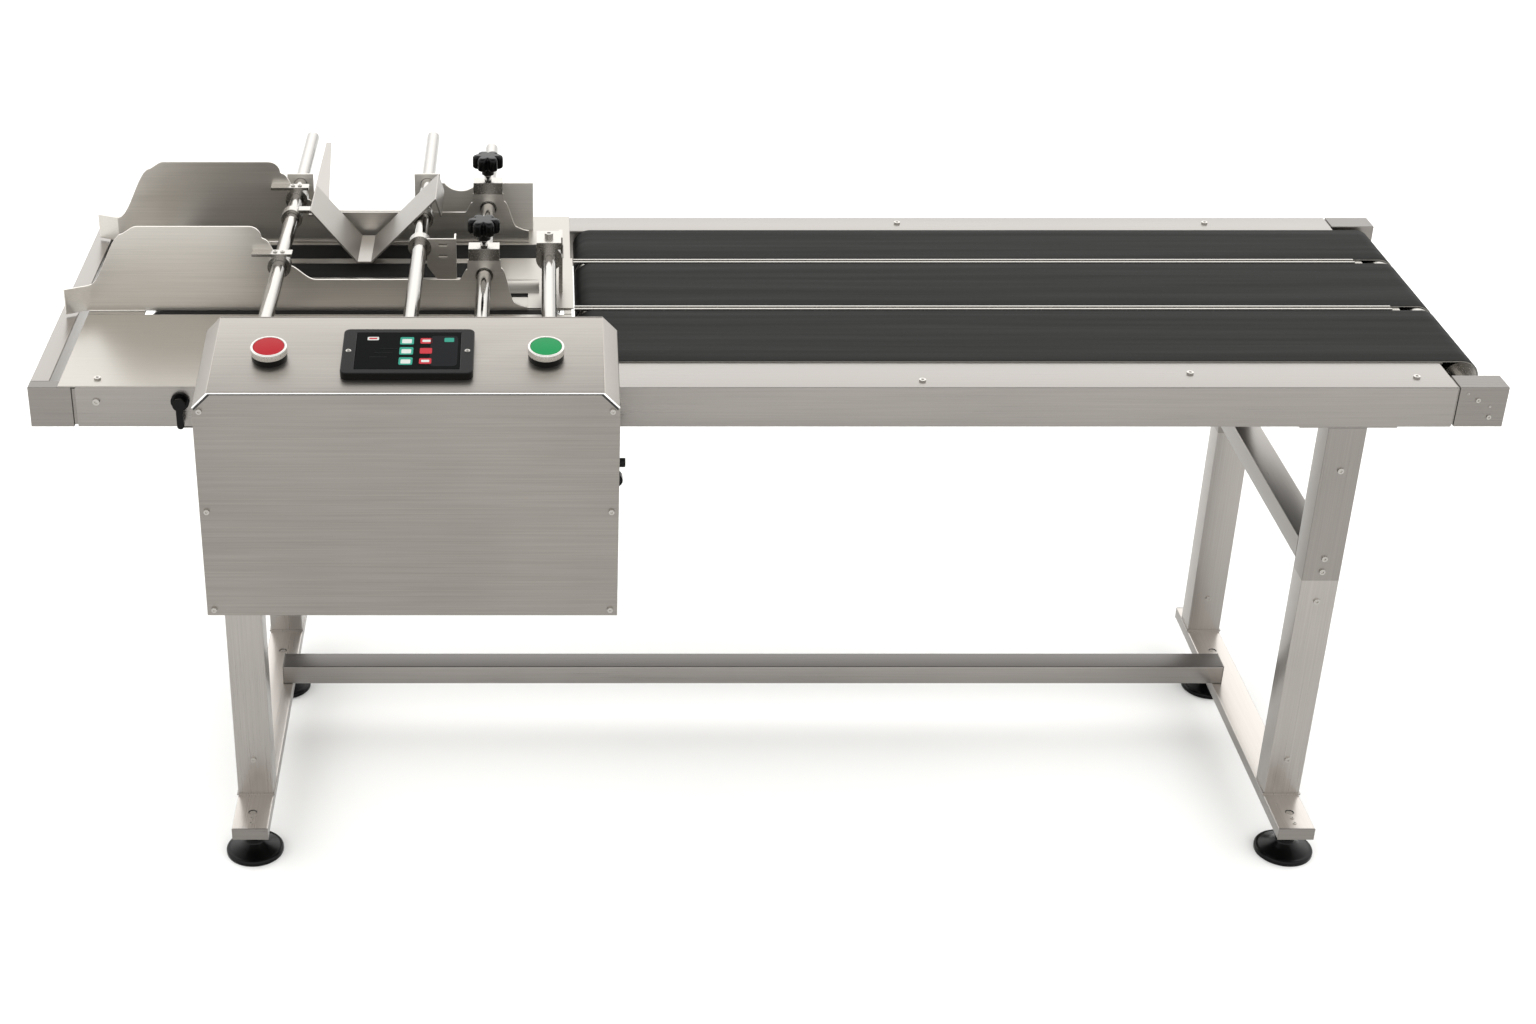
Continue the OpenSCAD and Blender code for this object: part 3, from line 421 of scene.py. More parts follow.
class Finish(Enum):
    """Every finish on the machine."""

    # top on the brushed finishes paints light by slope: below 1 it is painted shade on the tops
    # of the rails, end blocks and stretcher, above 1 a painted highlight on the tops of the foot
    # bars and the box.
    RAIL = BrushedSteel("rail_steel_brushed_along", Grain.ALONG_X, "#8b8783", top=0.9)
    BLOCK = BrushedSteel("block_steel_brushed", Grain.ALONG_X, "#7d7975", top=0.62)
    STRETCHER = BrushedSteel("stretcher_steel_brushed", Grain.ALONG_X, "#918d89", top=0.3)
    LEG = BrushedSteel("leg_steel_brushed_upright", Grain.ALONG_Z)
    LOWER_LEG = BrushedSteel("lower_leg_steel_brushed", Grain.ALONG_Z, "#9a9692")
    CROSS = BrushedSteel("tube_steel_brushed_across", Grain.ALONG_Y)
    FOOT_BAR = BrushedSteel("bar_steel_brushed_across", Grain.ALONG_Y, "#8e8a86", top=1.5)
    SHEET = BrushedSteel("sheet_steel_brushed", Grain.ALONG_X, "#9a9690", 0.33, 2.0)
    PLATE = BrushedSteel("plate_steel_brushed", Grain.ALONG_X, "#c9c6c0", 0.5, 2.0)
    # A bright copy of the box steel: its light colour is a painted highlight along the cover's
    # rolled edge, and side darkens its upright faces as painted shade.
    PAINTED_FOLD_HIGHLIGHT = PolishedSteel("fold_steel_painted_highlight", "#dddbd8", 0.25, 4.0, 0.9)
    BOX = BrushedSteel(
        "box_steel_brushed", Grain.ALONG_X, "#84807b", 0.34, 2.0, 200.0, 0.14, top=1.25
    )
    GUIDE = BrushedSteel("guide_steel_dull", Grain.ALONG_X, colour="#bfbbb5", roughness=0.34)
    VEE = BrushedSteel("vee_steel_satin", Grain.ALONG_X, colour="#928e89", roughness=0.34)
    # side on the polished finishes is painted shade: fittings, screws and most of all the rods
    # are darker on their sides than on their tops.
    FITTING = PolishedSteel("fitting_steel_machined", "#a19e99", 0.24, 2.0, 0.75)
    SCREW = PolishedSteel("screw_steel_dull", "#b0ada8", 0.30, 2.0, 0.85)
    RING = PolishedSteel("ring_steel_satin", "#c9c7c3", 0.28, 2.0, 1.0)
    ROD = PolishedSteel("rod_steel_polished", "#9c9995", 0.10, 6.0, 0.35)
    HIDDEN = BrushedSteel("plain_steel_dull", Grain.ALONG_Y, colour="#8b8883", roughness=0.45)
    BELT = BeltCover("belt_pvc_matt")
    BELT_CORE = Moulded("belt_fabric_core", "#6e6b66", 0.85, 0.8, 0.2)
    # Dark rubber for the drive belts; the same near-black is used as painted shade in the cover's
    # seam.
    RUBBER_AND_SEAM_SHADE = Moulded("timing_belt_rubber_and_seam_shade", "#191919", 0.7, 1.0)
    NYLON = Moulded("nylon_black_glossy", "#050505", 0.24, 1.4, 0.04, specular=0.12)
    ABS = Moulded("abs_black_moulded", "#090909", 0.38, 0.9, specular=0.15)
    RED = Moulded("button_acrylic_red", "#960a18", 0.35, 2.5, 0.02, 0.06, specular=0.12)
    GREEN = Moulded("button_acrylic_green", "#027a42", 0.35, 2.5, 0.02, 0.06, specular=0.12)
    GLASS = Moulded("screen_glass_dark", "#040505", 0.2, 8.0, 0.01, 0.1, specular=0.02)
    PAINT = Moulded("motor_enamel_blue", "#3c5266", 0.4, 1.6)
    PANEL = Moulded("screen_film_grey", "#131416", 0.4, 3.0, 0.01, 0.05, specular=0.03)
    TEAL = Moulded("screen_film_teal", "#1f7f6c", 0.4, 3.0, 0.01, 0.05, specular=0.1)
    PALE = Moulded("screen_film_pale", "#b5b8b4", 0.4, 3.0, 0.01, 0.05, specular=0.1)
    SCARLET = Moulded("screen_film_scarlet", "#a3202c", 0.4, 3.0, 0.01, 0.05, specular=0.1)

    def material(self) -> bpy.types.Material:
        """Gives the finish's material, made when it is first asked for."""
        return bpy.data.materials.get(self.value.name) or self.value.build()


# ---------- Mesh helpers ----------


def surface(points: np.ndarray, around: bool = False, along: bool = False) -> Shape:
    """Turns a grid of points into quads.

    Args:
        points: Array of rows by columns by 3.
        around: Whether the last column joins the first.
        along: Whether the last row joins the first.

    Returns:
        The vertices and the quads' corner numbers: corner (i, j) goes to (i, j + 1),
        (i + 1, j + 1) and (i + 1, j).
    """
    rows, columns = points.shape[:2]
    i = np.arange(rows if along else rows - 1)[:, None]
    j = np.arange(columns if around else columns - 1)[None, :]
    i2, j2 = (i + 1) % rows, (j + 1) % columns
    corners = [i * columns + j, i * columns + j2, i2 * columns + j2, i2 * columns + j]
    faces = np.stack(np.broadcast_arrays(*corners), axis=-1).reshape(-1, 4)
    return points.reshape(-1, 3), faces


def join(parts: list[Shape]) -> Shape:
    """Puts several surfaces into one list of vertices and one of quads.

    Args:
        parts: Vertices and quads of each surface.

    Returns:
        All vertices, and all quads with their corner numbers moved up.
    """
    starts = np.cumsum([0] + [len(vertices) for vertices, _ in parts[:-1]])
    faces = [quads + start for (_, quads), start in zip(parts, starts, strict=True)]
    return np.concatenate([vertices for vertices, _ in parts]), np.concatenate(faces)


def round_corners(corners: np.ndarray, radii: np.ndarray, steps: int = 5) -> np.ndarray:
    """Rounds the corners of an open outline.

    Each corner becomes a quadratic arc between the points at its radius before and after
    it: (1 - t)^2 a + 2 t (1 - t) c + t^2 b, with t from 0 to 1.

    Args:
        corners: Points of the outline, n by 2.
        radii: How far each corner's arc starts from it; the ends' are ignored.
        steps: Points along each arc.

    Returns:
        The rounded outline.
    """
    before, corner, after = corners[:-2], corners[1:-1], corners[2:]
    to_before, to_after = before - corner, after - corner
    reach = radii[1:-1, None]
    start = corner + to_before / np.linalg.norm(to_before, axis=1, keepdims=True) * reach
    end = corner + to_after / np.linalg.norm(to_after, axis=1, keepdims=True) * reach
    t = np.linspace(0, 1, steps)[None, :, None]
    arcs = (1 - t) ** 2 * start[:, None] + 2 * t * (1 - t) * corner[:, None] + t**2 * end[:, None]
    return np.concatenate([corners[:1], arcs.reshape(-1, 2), corners[-1:]])


def lathe(outline: np.ndarray, steps: int = 64) -> Shape:
    """Turns an outline about the z axis: x = r cos a, y = r sin a, z = h.

    Args:
        outline: Radius and height of each point, n by 2, from the foot to the top.
        steps: Points around.

    Returns:
        Vertices and quads.
    """
    angle = np.linspace(0, 2 * np.pi, steps, endpoint=False)
    radius, height = outline[:, :1], outline[:, 1:]
    grid = np.stack(
        [radius * np.cos(angle), radius * np.sin(angle), height + 0 * angle], axis=-1
    )
    return surface(grid, around=True)


def carried(shape: Shape, matrix: Matrix) -> Shape:
    """Moves a shape by a matrix.

    Args:
        shape: Vertices and quads.
        matrix: A 4 by 4 matrix.

    Returns:
        The moved vertices, and the same quads.
    """
    turn = np.array(matrix)
    return shape[0] @ turn[:3, :3].T + turn[:3, 3], shape[1]


def thread(foot: float, top: float, radius: float, pitch: float, depth: float) -> np.ndarray:
    """Gives a thread as a row of ridges, with a plain end 1 mm below and about 1 mm above.

    Args:
        foot: Height of the threaded bar's lower end.
        top: Height of its upper end.
        radius: Radius over the ridges.
        pitch: Distance between ridges.
        depth: How far the radius falls between two ridges.

    Returns:
        Radius and height of each point, two for each pitch.
    """
    number = np.arange(2 * int((top - foot - 2 * MM) / pitch))
    ridge = np.where(number % 2, radius, radius - depth)
    return np.stack([ridge, foot + 1 * MM + number * pitch / 2], axis=-1)


def piece(
    name: str,
    shape: Shape,
    finishes: list[Finish],
    body: str,
    slot: str,
    replaced: tuple[str, ...] = (),
    sharp: float = 35.0,
    finish_index: np.ndarray | None = None,
) -> bpy.types.Object:
    """Makes an object from vertices and quads and puts it on its body.

    Args:
        name: The piece's name.
        shape: Vertices in metres in the machine's frame, and quads.
        finishes: The piece's finishes, in slot order.
        body: The body that it rides on.
        slot: The record's material slot; not used.
        replaced: The model's nodes that it stands for.
        sharp: Angle in degrees above which an edge stays sharp.
        finish_index: Which finish each quad takes.

    Returns:
        The new object.
    """
    vertices, faces = shape
    mesh = bpy.data.meshes.new(name)
    mesh.from_pydata(vertices.tolist(), [], faces.tolist())
    if finish_index is not None:
        mesh.polygons.foreach_set("material_index", finish_index.astype(np.int32))
    tidy = bmesh.new()
    tidy.from_mesh(mesh)
    bmesh.ops.remove_doubles(tidy, verts=tidy.verts, dist=SAME_POINT / 2)
    bmesh.ops.dissolve_degenerate(tidy, edges=tidy.edges, dist=SAME_POINT / 2)
    bmesh.ops.recalc_face_normals(tidy, faces=tidy.faces)
    tidy.to_mesh(mesh)
    tidy.free()
    mesh.shade_smooth()
    mesh.set_sharp_from_angle(angle=math.radians(sharp))
    made = bpy.data.objects.new(name, mesh)
    bpy.context.scene.collection.objects.link(made)
    for finish in finishes:
        mesh.materials.append(finish.material())
    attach(made, body)
    if replaced:
        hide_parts(*replaced)
    LOG.info("%s: %d faces on %s", name, len(mesh.polygons), body)
    return made


def folded_copy(
    node: str,
    finish: Finish,
    radius_mm: float = 0.0,
    long_mm: float = 100.0,
    edge_mm: float = 0.4,
) -> bpy.types.Object:
    """Copies a node's mesh, rounds its folds and breaks its other edges.

    The copy's doubles are merged and its flat faces joined. Every outward edge longer
    than long_mm becomes a fold of radius_mm, and a fine bevel breaks the rest.

    Args:
        node: The model's node.
        finish: The copy's finish.
        radius_mm: Radius of the long folds; 0 leaves them to the fine bevel.
        long_mm: Shortest edge that counts as a fold.
        edge_mm: Width of the fine bevel; 0 leaves it out.

    Returns:
        The finished copy, which stands for the node.
    """
    fold_angle, flat_angle = math.radians(30), math.radians(0.4)
    source = frame["nodes"][node].data
    vertices = np.empty(len(source.vertices) * 3, np.float32)
    source.vertices.foreach_get("co", vertices)
    corners = np.empty(len(source.loops), np.int32)
    source.loops.foreach_get("vertex_index", corners)
    mesh = bpy.data.meshes.new(node + "_finished")
    mesh.from_pydata(vertices.reshape(-1, 3).tolist(), [], corners.reshape(-1, 3).tolist())
    work = bmesh.new()
    work.from_mesh(mesh)
    bmesh.ops.remove_doubles(work, verts=work.verts, dist=SAME_POINT)
    bmesh.ops.dissolve_limit(work, angle_limit=flat_angle, verts=work.verts, edges=work.edges)
    if radius_mm:
        folds = [
            edge
            for edge in work.edges
            if edge.calc_length() > long_mm * MM
            and edge.is_convex
            and edge.calc_face_angle(0) > fold_angle
        ]
        bmesh.ops.bevel(
            work,
            geom=folds,
            offset=radius_mm * MM,
            offset_type="OFFSET",
            segments=4,
            profile=0.5,
            affect="EDGES",
            clamp_overlap=False,
        )
    work.to_mesh(mesh)
    work.free()
    mesh.shade_smooth()
    mesh.set_sharp_from_angle(angle=fold_angle)
    made = bpy.data.objects.new(node + "_finished", mesh)
    bpy.context.scene.collection.objects.link(made)
    mesh.materials.append(finish.material())
    if edge_mm:
        bevel = made.modifiers.new("broken_edges", "BEVEL")
        bevel.width = edge_mm * MM
        bevel.segments = 2
        bevel.limit_method = "ANGLE"
        bevel.angle_limit = math.radians(35)
        bevel.harden_normals = True
    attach(made, BODY_OF[node])
    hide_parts(node)
    LOG.info("%s: %d faces", made.name, len(mesh.polygons))
    return made


def tilted_place(centre: Vector, tilt: float) -> Matrix:
    """Gives the matrix that stands a shape on a slope.

    Args:
        centre: Where the shape's origin goes.
        tilt: Angle of the slope about the x axis, in radians.

    Returns:
        The matrix.
    """
    return Matrix.Translation(centre) @ Matrix.Rotation(tilt, 4, "X")


# ---------- Stage ----------


@dataclass
class Stage:
    """Camera, pale floor and soft studio light."""

    eye: tuple[float, float, float] = (-0.286, -2.9845, 1.9825)
    look_down: float = 28.5
    lens: float = 54.56
    shift: float = 0.145
    floor_reach: float = 60.0
    floor_colour: str = "#efefee"
    sky_strength: float = 2.75
    sky_bands: tuple[tuple[float, float], ...] = (
        (0.0, 0.45), (0.16, 0.62), (0.36, 1.0), (0.60, 0.95), (0.80, 0.42), (1.0, 0.20)
    )

    def build(self) -> None:
        """Makes the camera, the floor and the light."""
        self.camera()
        self.floor()
        self.sky()
        bpy.context.scene.view_settings.view_transform = "Standard"

    def camera(self) -> None:
        """Makes the camera in front of the control box, looking down at the bed."""
        data = bpy.data.cameras.new("studio_camera")
        data.lens = self.lens
        data.shift_x = self.shift
        data.clip_end = 200
        eye = bpy.data.objects.new("studio_camera", data)
        eye.location = self.eye
        eye.rotation_euler = (math.radians(90 - self.look_down), 0, 0)
        bpy.context.scene.collection.objects.link(eye)
        bpy.context.scene.camera = eye

    def floor(self) -> None:
        """Makes a wide floor of pale seamless paper, matt with a faint tooth."""
        line = np.linspace(-self.floor_reach, self.floor_reach, 9)
        x, y = np.meshgrid(line, line, indexing="xy")
        vertices, faces = surface(np.stack([x, y, 0 * x], axis=-1))
        mesh = bpy.data.meshes.new("floor")
        mesh.from_pydata(vertices.tolist(), [], faces.tolist())
        ground = bpy.data.objects.new("floor", mesh)
        bpy.context.scene.collection.objects.link(ground)
        paper = Moulded("paper_pale", self.floor_colour, 0.9, 3.0, 0.02, 0.01)
        mesh.materials.append(paper.build())

    def sky(self) -> None:
        """Makes a soft light that is brightest in a broad band above the horizon.

        Each of sky_bands gives the sine of a height above the horizon, and the light there.
        """
        world = bpy.data.worlds.new("studio_light")
        world.use_nodes = True
        tree = world.node_tree
        tree.nodes.clear()
        place = add(tree, "ShaderNodeTexCoord")
        parts = add(tree, "ShaderNodeSeparateXYZ", links={0: place.outputs["Generated"]})
        ramp = add(tree, "ShaderNodeValToRGB", links={0: parts.outputs[2]})
        band = ramp.color_ramp
        while len(band.elements) < len(self.sky_bands):
            band.elements.new(0.5)
        for element, (height, light) in zip(band.elements, self.sky_bands, strict=True):
            element.position = height
            element.color = (light, light, light * 0.99, 1.0)
        glow = add(
            tree,
            "ShaderNodeBackground",
            {"Strength": self.sky_strength},
            {"Color": ramp.outputs[0]},
        )
        add(tree, "ShaderNodeOutputWorld", links={"Surface": glow.outputs[0]})
        bpy.context.scene.world = world


# ---------- Pieces that keep the model's shape ----------


@dataclass(frozen=True)
class Dressing:
    """How one node is finished.

    Its edges longer than long_mm are folds of radius_mm; edge_mm breaks the others.
    """

    node: str
    finish: Finish
    radius_mm: float = 0.0
    long_mm: float = 100.0
    edge_mm: float = 0.4


@dataclass
class DressedPieces:
    """Frame, box, guides and small fittings: the model's own shapes, folded and deburred.

    The inner nodes, which the box and the belts hide, only get a material.
    """

    parts: list[Dressing] = field(
        default_factory=lambda: [
            Dressing("front_rail", Finish.RAIL, 1.5),
            Dressing("rear_rail", Finish.RAIL, 1.5),
            Dressing("end_blocks", Finish.BLOCK, edge_mm=1.2),
            Dressing("infeed_crossbar", Finish.CROSS, 1.5),
            Dressing("bed_cross_members", Finish.CROSS, 1.5),
            Dressing("slider_bed", Finish.SHEET),
            Dressing("gap_strips", Finish.FITTING, edge_mm=0.3),
            Dressing("table_plates", Finish.SHEET, edge_mm=0.5),
            Dressing("discharge_deck", Finish.SHEET, edge_mm=0.3),
            Dressing("upper_legs", Finish.LEG, 1.5),
            Dressing("lower_legs", Finish.LOWER_LEG, 1.5),
            Dressing("leg_cross_tubes", Finish.CROSS, 1.5),
            Dressing("leg_brackets", Finish.CROSS, 1.0),
            Dressing("foot_bars", Finish.FOOT_BAR, 1.5),
            Dressing("stretcher", Finish.STRETCHER, 1.5),
            Dressing("foot_nuts", Finish.FITTING, edge_mm=0.5),
            Dressing("frame_screws", Finish.SCREW, edge_mm=0.3),
            Dressing("box_shell", Finish.BOX, 1.5, 150.0, 0.4),
            Dressing("box_front_cover", Finish.BOX, edge_mm=0.6),
            Dressing("box_back_plate", Finish.BOX),
            Dressing("rod_collars", Finish.FITTING, edge_mm=0.6),
            Dressing("guide_rods", Finish.ROD, edge_mm=0.5),
            Dressing("rear_rod_plate", Finish.PLATE, edge_mm=0.5),
            Dressing("front_guide_plate", Finish.GUIDE, edge_mm=0.5),
            Dressing("rear_guide_plate", Finish.GUIDE, edge_mm=0.5),
            Dressing("front_guide_clamps", Finish.FITTING, edge_mm=0.6),
            Dressing("rear_guide_clamps", Finish.FITTING, edge_mm=0.6),
            Dressing("vee_support", Finish.VEE, edge_mm=0.4),
            Dressing("vee_clamps", Finish.FITTING, edge_mm=0.5),
            Dressing("gate_plate", Finish.GUIDE, edge_mm=0.5),
            Dressing("gate_clamp", Finish.FITTING, edge_mm=0.6),
            Dressing("end_caps", Finish.BLOCK, edge_mm=0.5),
            Dressing("power_plate", Finish.ABS, edge_mm=0.8),
            Dressing("fuse_cap", Finish.ABS, edge_mm=0.8),
            Dressing("power_rocker", Finish.NYLON, edge_mm=0.6),
            Dressing("clamp_lever", Finish.NYLON, edge_mm=1.0),
            Dressing("display_housing", Finish.NYLON, edge_mm=1.2),
            Dressing("display_screen", Finish.GLASS, edge_mm=0.3),
        ]
    )
    inner: dict[str, Finish] = field(
        default_factory=lambda: {
            "leg_splices": Finish.HIDDEN,
            "roller_bearings": Finish.HIDDEN,
            "motor_pulley": Finish.HIDDEN,
            "drive_roller": Finish.FITTING,
            "tail_roller": Finish.FITTING,
            "feed_drive_roller": Finish.FITTING,
            "feed_idler_roller": Finish.FITTING,
            "gear_motor": Finish.PAINT,
            "inverter": Finish.ABS,
            "drive_belts": Finish.RUBBER_AND_SEAM_SHADE,
        }
    )

    def build(self) -> None:
        """Finishes every piece, and gives the inner nodes their materials."""
        for part in self.parts:
            folded_copy(part.node, part.finish, part.radius_mm, part.long_mm, part.edge_mm)
        for node, finish in self.inner.items():
            for place in frame["nodes"][node].material_slots:
                place.material = finish.material()
            LOG.info("%s: material only", node)


# ---------- Belts ----------


@dataclass
class BeltSet:
    """Endless flat belts, each an outline with rounded edges carried round two rollers."""

    thickness: float = 2 * MM
    edge_radius: float = 0.7 * MM
    arc_steps: int = 24
    straight_steps: int = 40
    edge_steps: int = 4

    def build(self) -> None:
        """Makes the delivery belts and the feed belts."""
        self.belts_of("conveyor_belts", "conveyor_belt")
        self.belts_of("feed_belts", "feed_belt")

    def belts_of(self, node: str, name: str) -> None:
        """Makes one piece for each loop in a node.

        Args:
            node: The model's node of belts.
            name: First part of the pieces' names.
        """
        for number, (low, high) in enumerate(loops_across(node), start=1):
            shape, index = self.loop(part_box(node), low, high)
            piece(
                f"{name}_{number}",
                shape,
                [Finish.BELT, Finish.BELT_CORE],
                BODY_OF[node],
                SLOT_OF[node],
                (node,),
                finish_index=index,
            )

    def loop(
        self, box: tuple[Vector, Vector], low: float, high: float
    ) -> tuple[Shape, np.ndarray]:
        """Works out one belt.

        The path is a stadium: two straights joined by half circles. At each point of it
        the cross-section stands on the path's outward normal: point = path + depth * normal,
        with the width along y. The outer edges are quarter circles.

        Args:
            box: Lowest and highest corner of all the belts on this pair of rollers.
            low: Front edge of the belt.
            high: Rear edge of the belt.

        Returns:
            Vertices and quads, and each quad's finish: 1 on the belt's side faces.
        """
        outer = (box[1].z - box[0].z) / 2
        middle = (box[1].z + box[0].z) / 2
        ends = box[0].x + outer, box[1].x - outer
        half = np.linspace(-np.pi / 2, np.pi / 2, self.arc_steps)
        run = np.linspace(ends[1], ends[0], self.straight_steps)[1:-1]
        angle = np.concatenate([half, np.full(len(run), np.pi / 2), half + np.pi])
        angle = np.concatenate([angle, np.full(len(run), -np.pi / 2)])
        centre = np.concatenate(
            [np.full(len(half), ends[1]), run, np.full(len(half), ends[0]), run[::-1]]
        )
        normal = np.stack([np.cos(angle), np.sin(angle)], axis=-1)
        edge = self.edge_radius
        turn = np.linspace(0, np.pi / 2, self.edge_steps)
        front = np.stack([low + edge - edge * np.cos(turn), edge * np.sin(turn) - edge], axis=-1)
        rear = np.stack([high - edge + edge * np.sin(turn), edge * np.cos(turn) - edge], axis=-1)
        across = np.linspace(low + edge, high - edge, 8)[1:-1]
        top = np.stack([across, 0 * across], axis=-1)
        inside = np.array([[high, -self.thickness], [low, -self.thickness]])
        section = np.concatenate([front, top, rear, inside])
        reach = outer + np.tile(section[:, 1], (len(centre), 1))
        grid = np.stack(
            [
                centre[:, None] + reach * normal[:, :1],
                np.broadcast_to(section[None, :, 0], reach.shape),
                middle + reach * normal[:, 1:],
            ],
            axis=-1,
        )
        side = np.zeros(len(section))
        side[len(front) + len(top) + len(rear) - 1] = 1
        side[-1] = 1
        return surface(grid, around=True, along=True), np.tile(side, len(grid))


def loops_across(node: str) -> list[tuple[float, float]]:
    """Finds the separate loops of a node of belts.

    Args:
        node: The model's node.

    Returns:
        Front and rear edge of each loop along y, from the front.
    """
    source = frame["nodes"][node].data
    places = np.empty(len(source.vertices) * 3, np.float32)
    source.vertices.foreach_get("co", places)
    edges = np.unique(np.round(places.reshape(-1, 3)[:, 1].astype(float), 5))
    return list(zip(edges[::2].tolist(), edges[1::2].tolist(), strict=True))


# ---------- Control box fittings ----------


@dataclass(frozen=True)
class BoxTop:
    """Slope of the control box's top, which rises toward the bed."""

    rise: float = 28.0
    depth: float = 165.0

    @property
    def tilt(self) -> float:
        """Gives the slope's angle in radians."""
        return math.atan2(self.rise, self.depth)

    @property
    def normal(self) -> Vector:
        """Gives the direction that stands square on the top."""
        return Vector((0, -math.sin(self.tilt), math.cos(self.tilt)))

    def seat(self, node: str, below: float) -> Matrix:
        """Finds a place on the slope under or over a node.

        Args:
            node: The node whose box's middle is the start.
            below: How far to go from there, square to the slope and into the box.

        Returns:
            The matrix that stands a shape there.
        """
        low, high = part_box(node)
        return tilted_place((low + high) / 2 - self.normal * below, self.tilt)


@dataclass
class PushButtons:
    """Two push buttons on the sloping top of the control box."""

    cap_radius: float = 19.3 * MM
    ring_radius: float = 22.5 * MM
    collar_radius: float = 22.0 * MM
    collar_height: float = 8 * MM
    ring_height: float = 9 * MM
    cap_foot: float = 4.5 * MM
    cap_proud: float = 0.4 * MM
    play: float = 0.3 * MM
    seam: float = 0.1 * MM
    neck_radius: float = 10.6 * MM
    neck_length: float = 24 * MM

    def cap_top(self) -> float:
        """Gives the height of a cap's face above the box top."""
        return self.collar_height + self.ring_height + self.cap_proud

    def build(self) -> None:
        """Makes the caps, and the rings and collars around them."""
        cap_middle = (self.cap_foot + self.cap_top()) / 2
        rings, collars = [], []
        for node, finish in (("stop_button", Finish.RED), ("start_button", Finish.GREEN)):
            place = BoxTop().seat(node, cap_middle)
            cap = carried(lathe(self.cap_outline()), place)
            piece(node + "_cap", cap, [finish], BODY_OF[node], SLOT_OF[node], (node,))
            rings.append(carried(lathe(self.ring_outline()), place))
            collars.append(carried(lathe(self.collar_outline()), place))
        for name, parts, finish in (
            ("button_rings", rings, Finish.RING),
            ("button_collars", collars, Finish.NYLON),
        ):
            piece(name + "_turned", join(parts), [finish], BODY_OF[name], SLOT_OF[name], (name,))

    def cap_outline(self) -> np.ndarray:
        """Gives the cap: a straight skirt, a rounded shoulder and a crowned face.

        Returns:
            Radius and height of each point. The face falls with the square of the radius.
        """
        crown, shoulder = 0.5 * MM, 1.5 * MM
        r, foot, low = self.cap_radius, self.cap_foot, self.cap_top() - crown
        skirt = np.array([[0, foot], [r, foot], [r, low], [r - shoulder, low]])
        rounded = round_corners(skirt, np.array([0, 0.4, 0.9, 0]) * MM)
        share = np.linspace(1, 0, 10)[1:, None]
        face = np.hstack([(r - shoulder) * share, self.cap_top() - crown * share**2])
        return np.concatenate([rounded, face])

    def ring_outline(self) -> np.ndarray:
        """Gives the bright ring: a wall with a rounded lip, open in the middle."""
        inner, outer = self.cap_radius + self.play, self.ring_radius
        foot, top = self.collar_height, self.collar_height + self.ring_height
        wall = [[inner, foot], [outer, foot], [outer, top], [inner, top]]
        closing = [[inner, foot + self.seam], [inner, foot]]
        return round_corners(
            np.array(wall + closing), np.array([0, 0.4, 1.4, 0.5, 0.05, 0]) * MM
        )

    def collar_outline(self) -> np.ndarray:
        """Gives the black collar: a base flange under the ring, with its neck below the sheet."""
        r, top, foot = self.collar_radius, self.collar_height - self.seam, self.seam
        neck, low, floor = self.neck_radius, -self.neck_length, 1 * MM
        bore = self.cap_radius + self.play
        corners = np.array(
            [[0, low], [neck, low], [neck, foot], [r, foot], [r, top], [bore, top], [bore, floor],
             [0, floor]]
        )
        return round_corners(corners, np.array([0, 1, 0.1, 0.6, 0.8, 0.2, 0.3, 0]) * MM)


@dataclass(frozen=True)
class Tile:
    """A plain rectangle on the touch screen, in millimetres from the screen's middle."""

    x_mm: float
    y_mm: float
    width_mm: float
    depth_mm: float
    finish: Finish


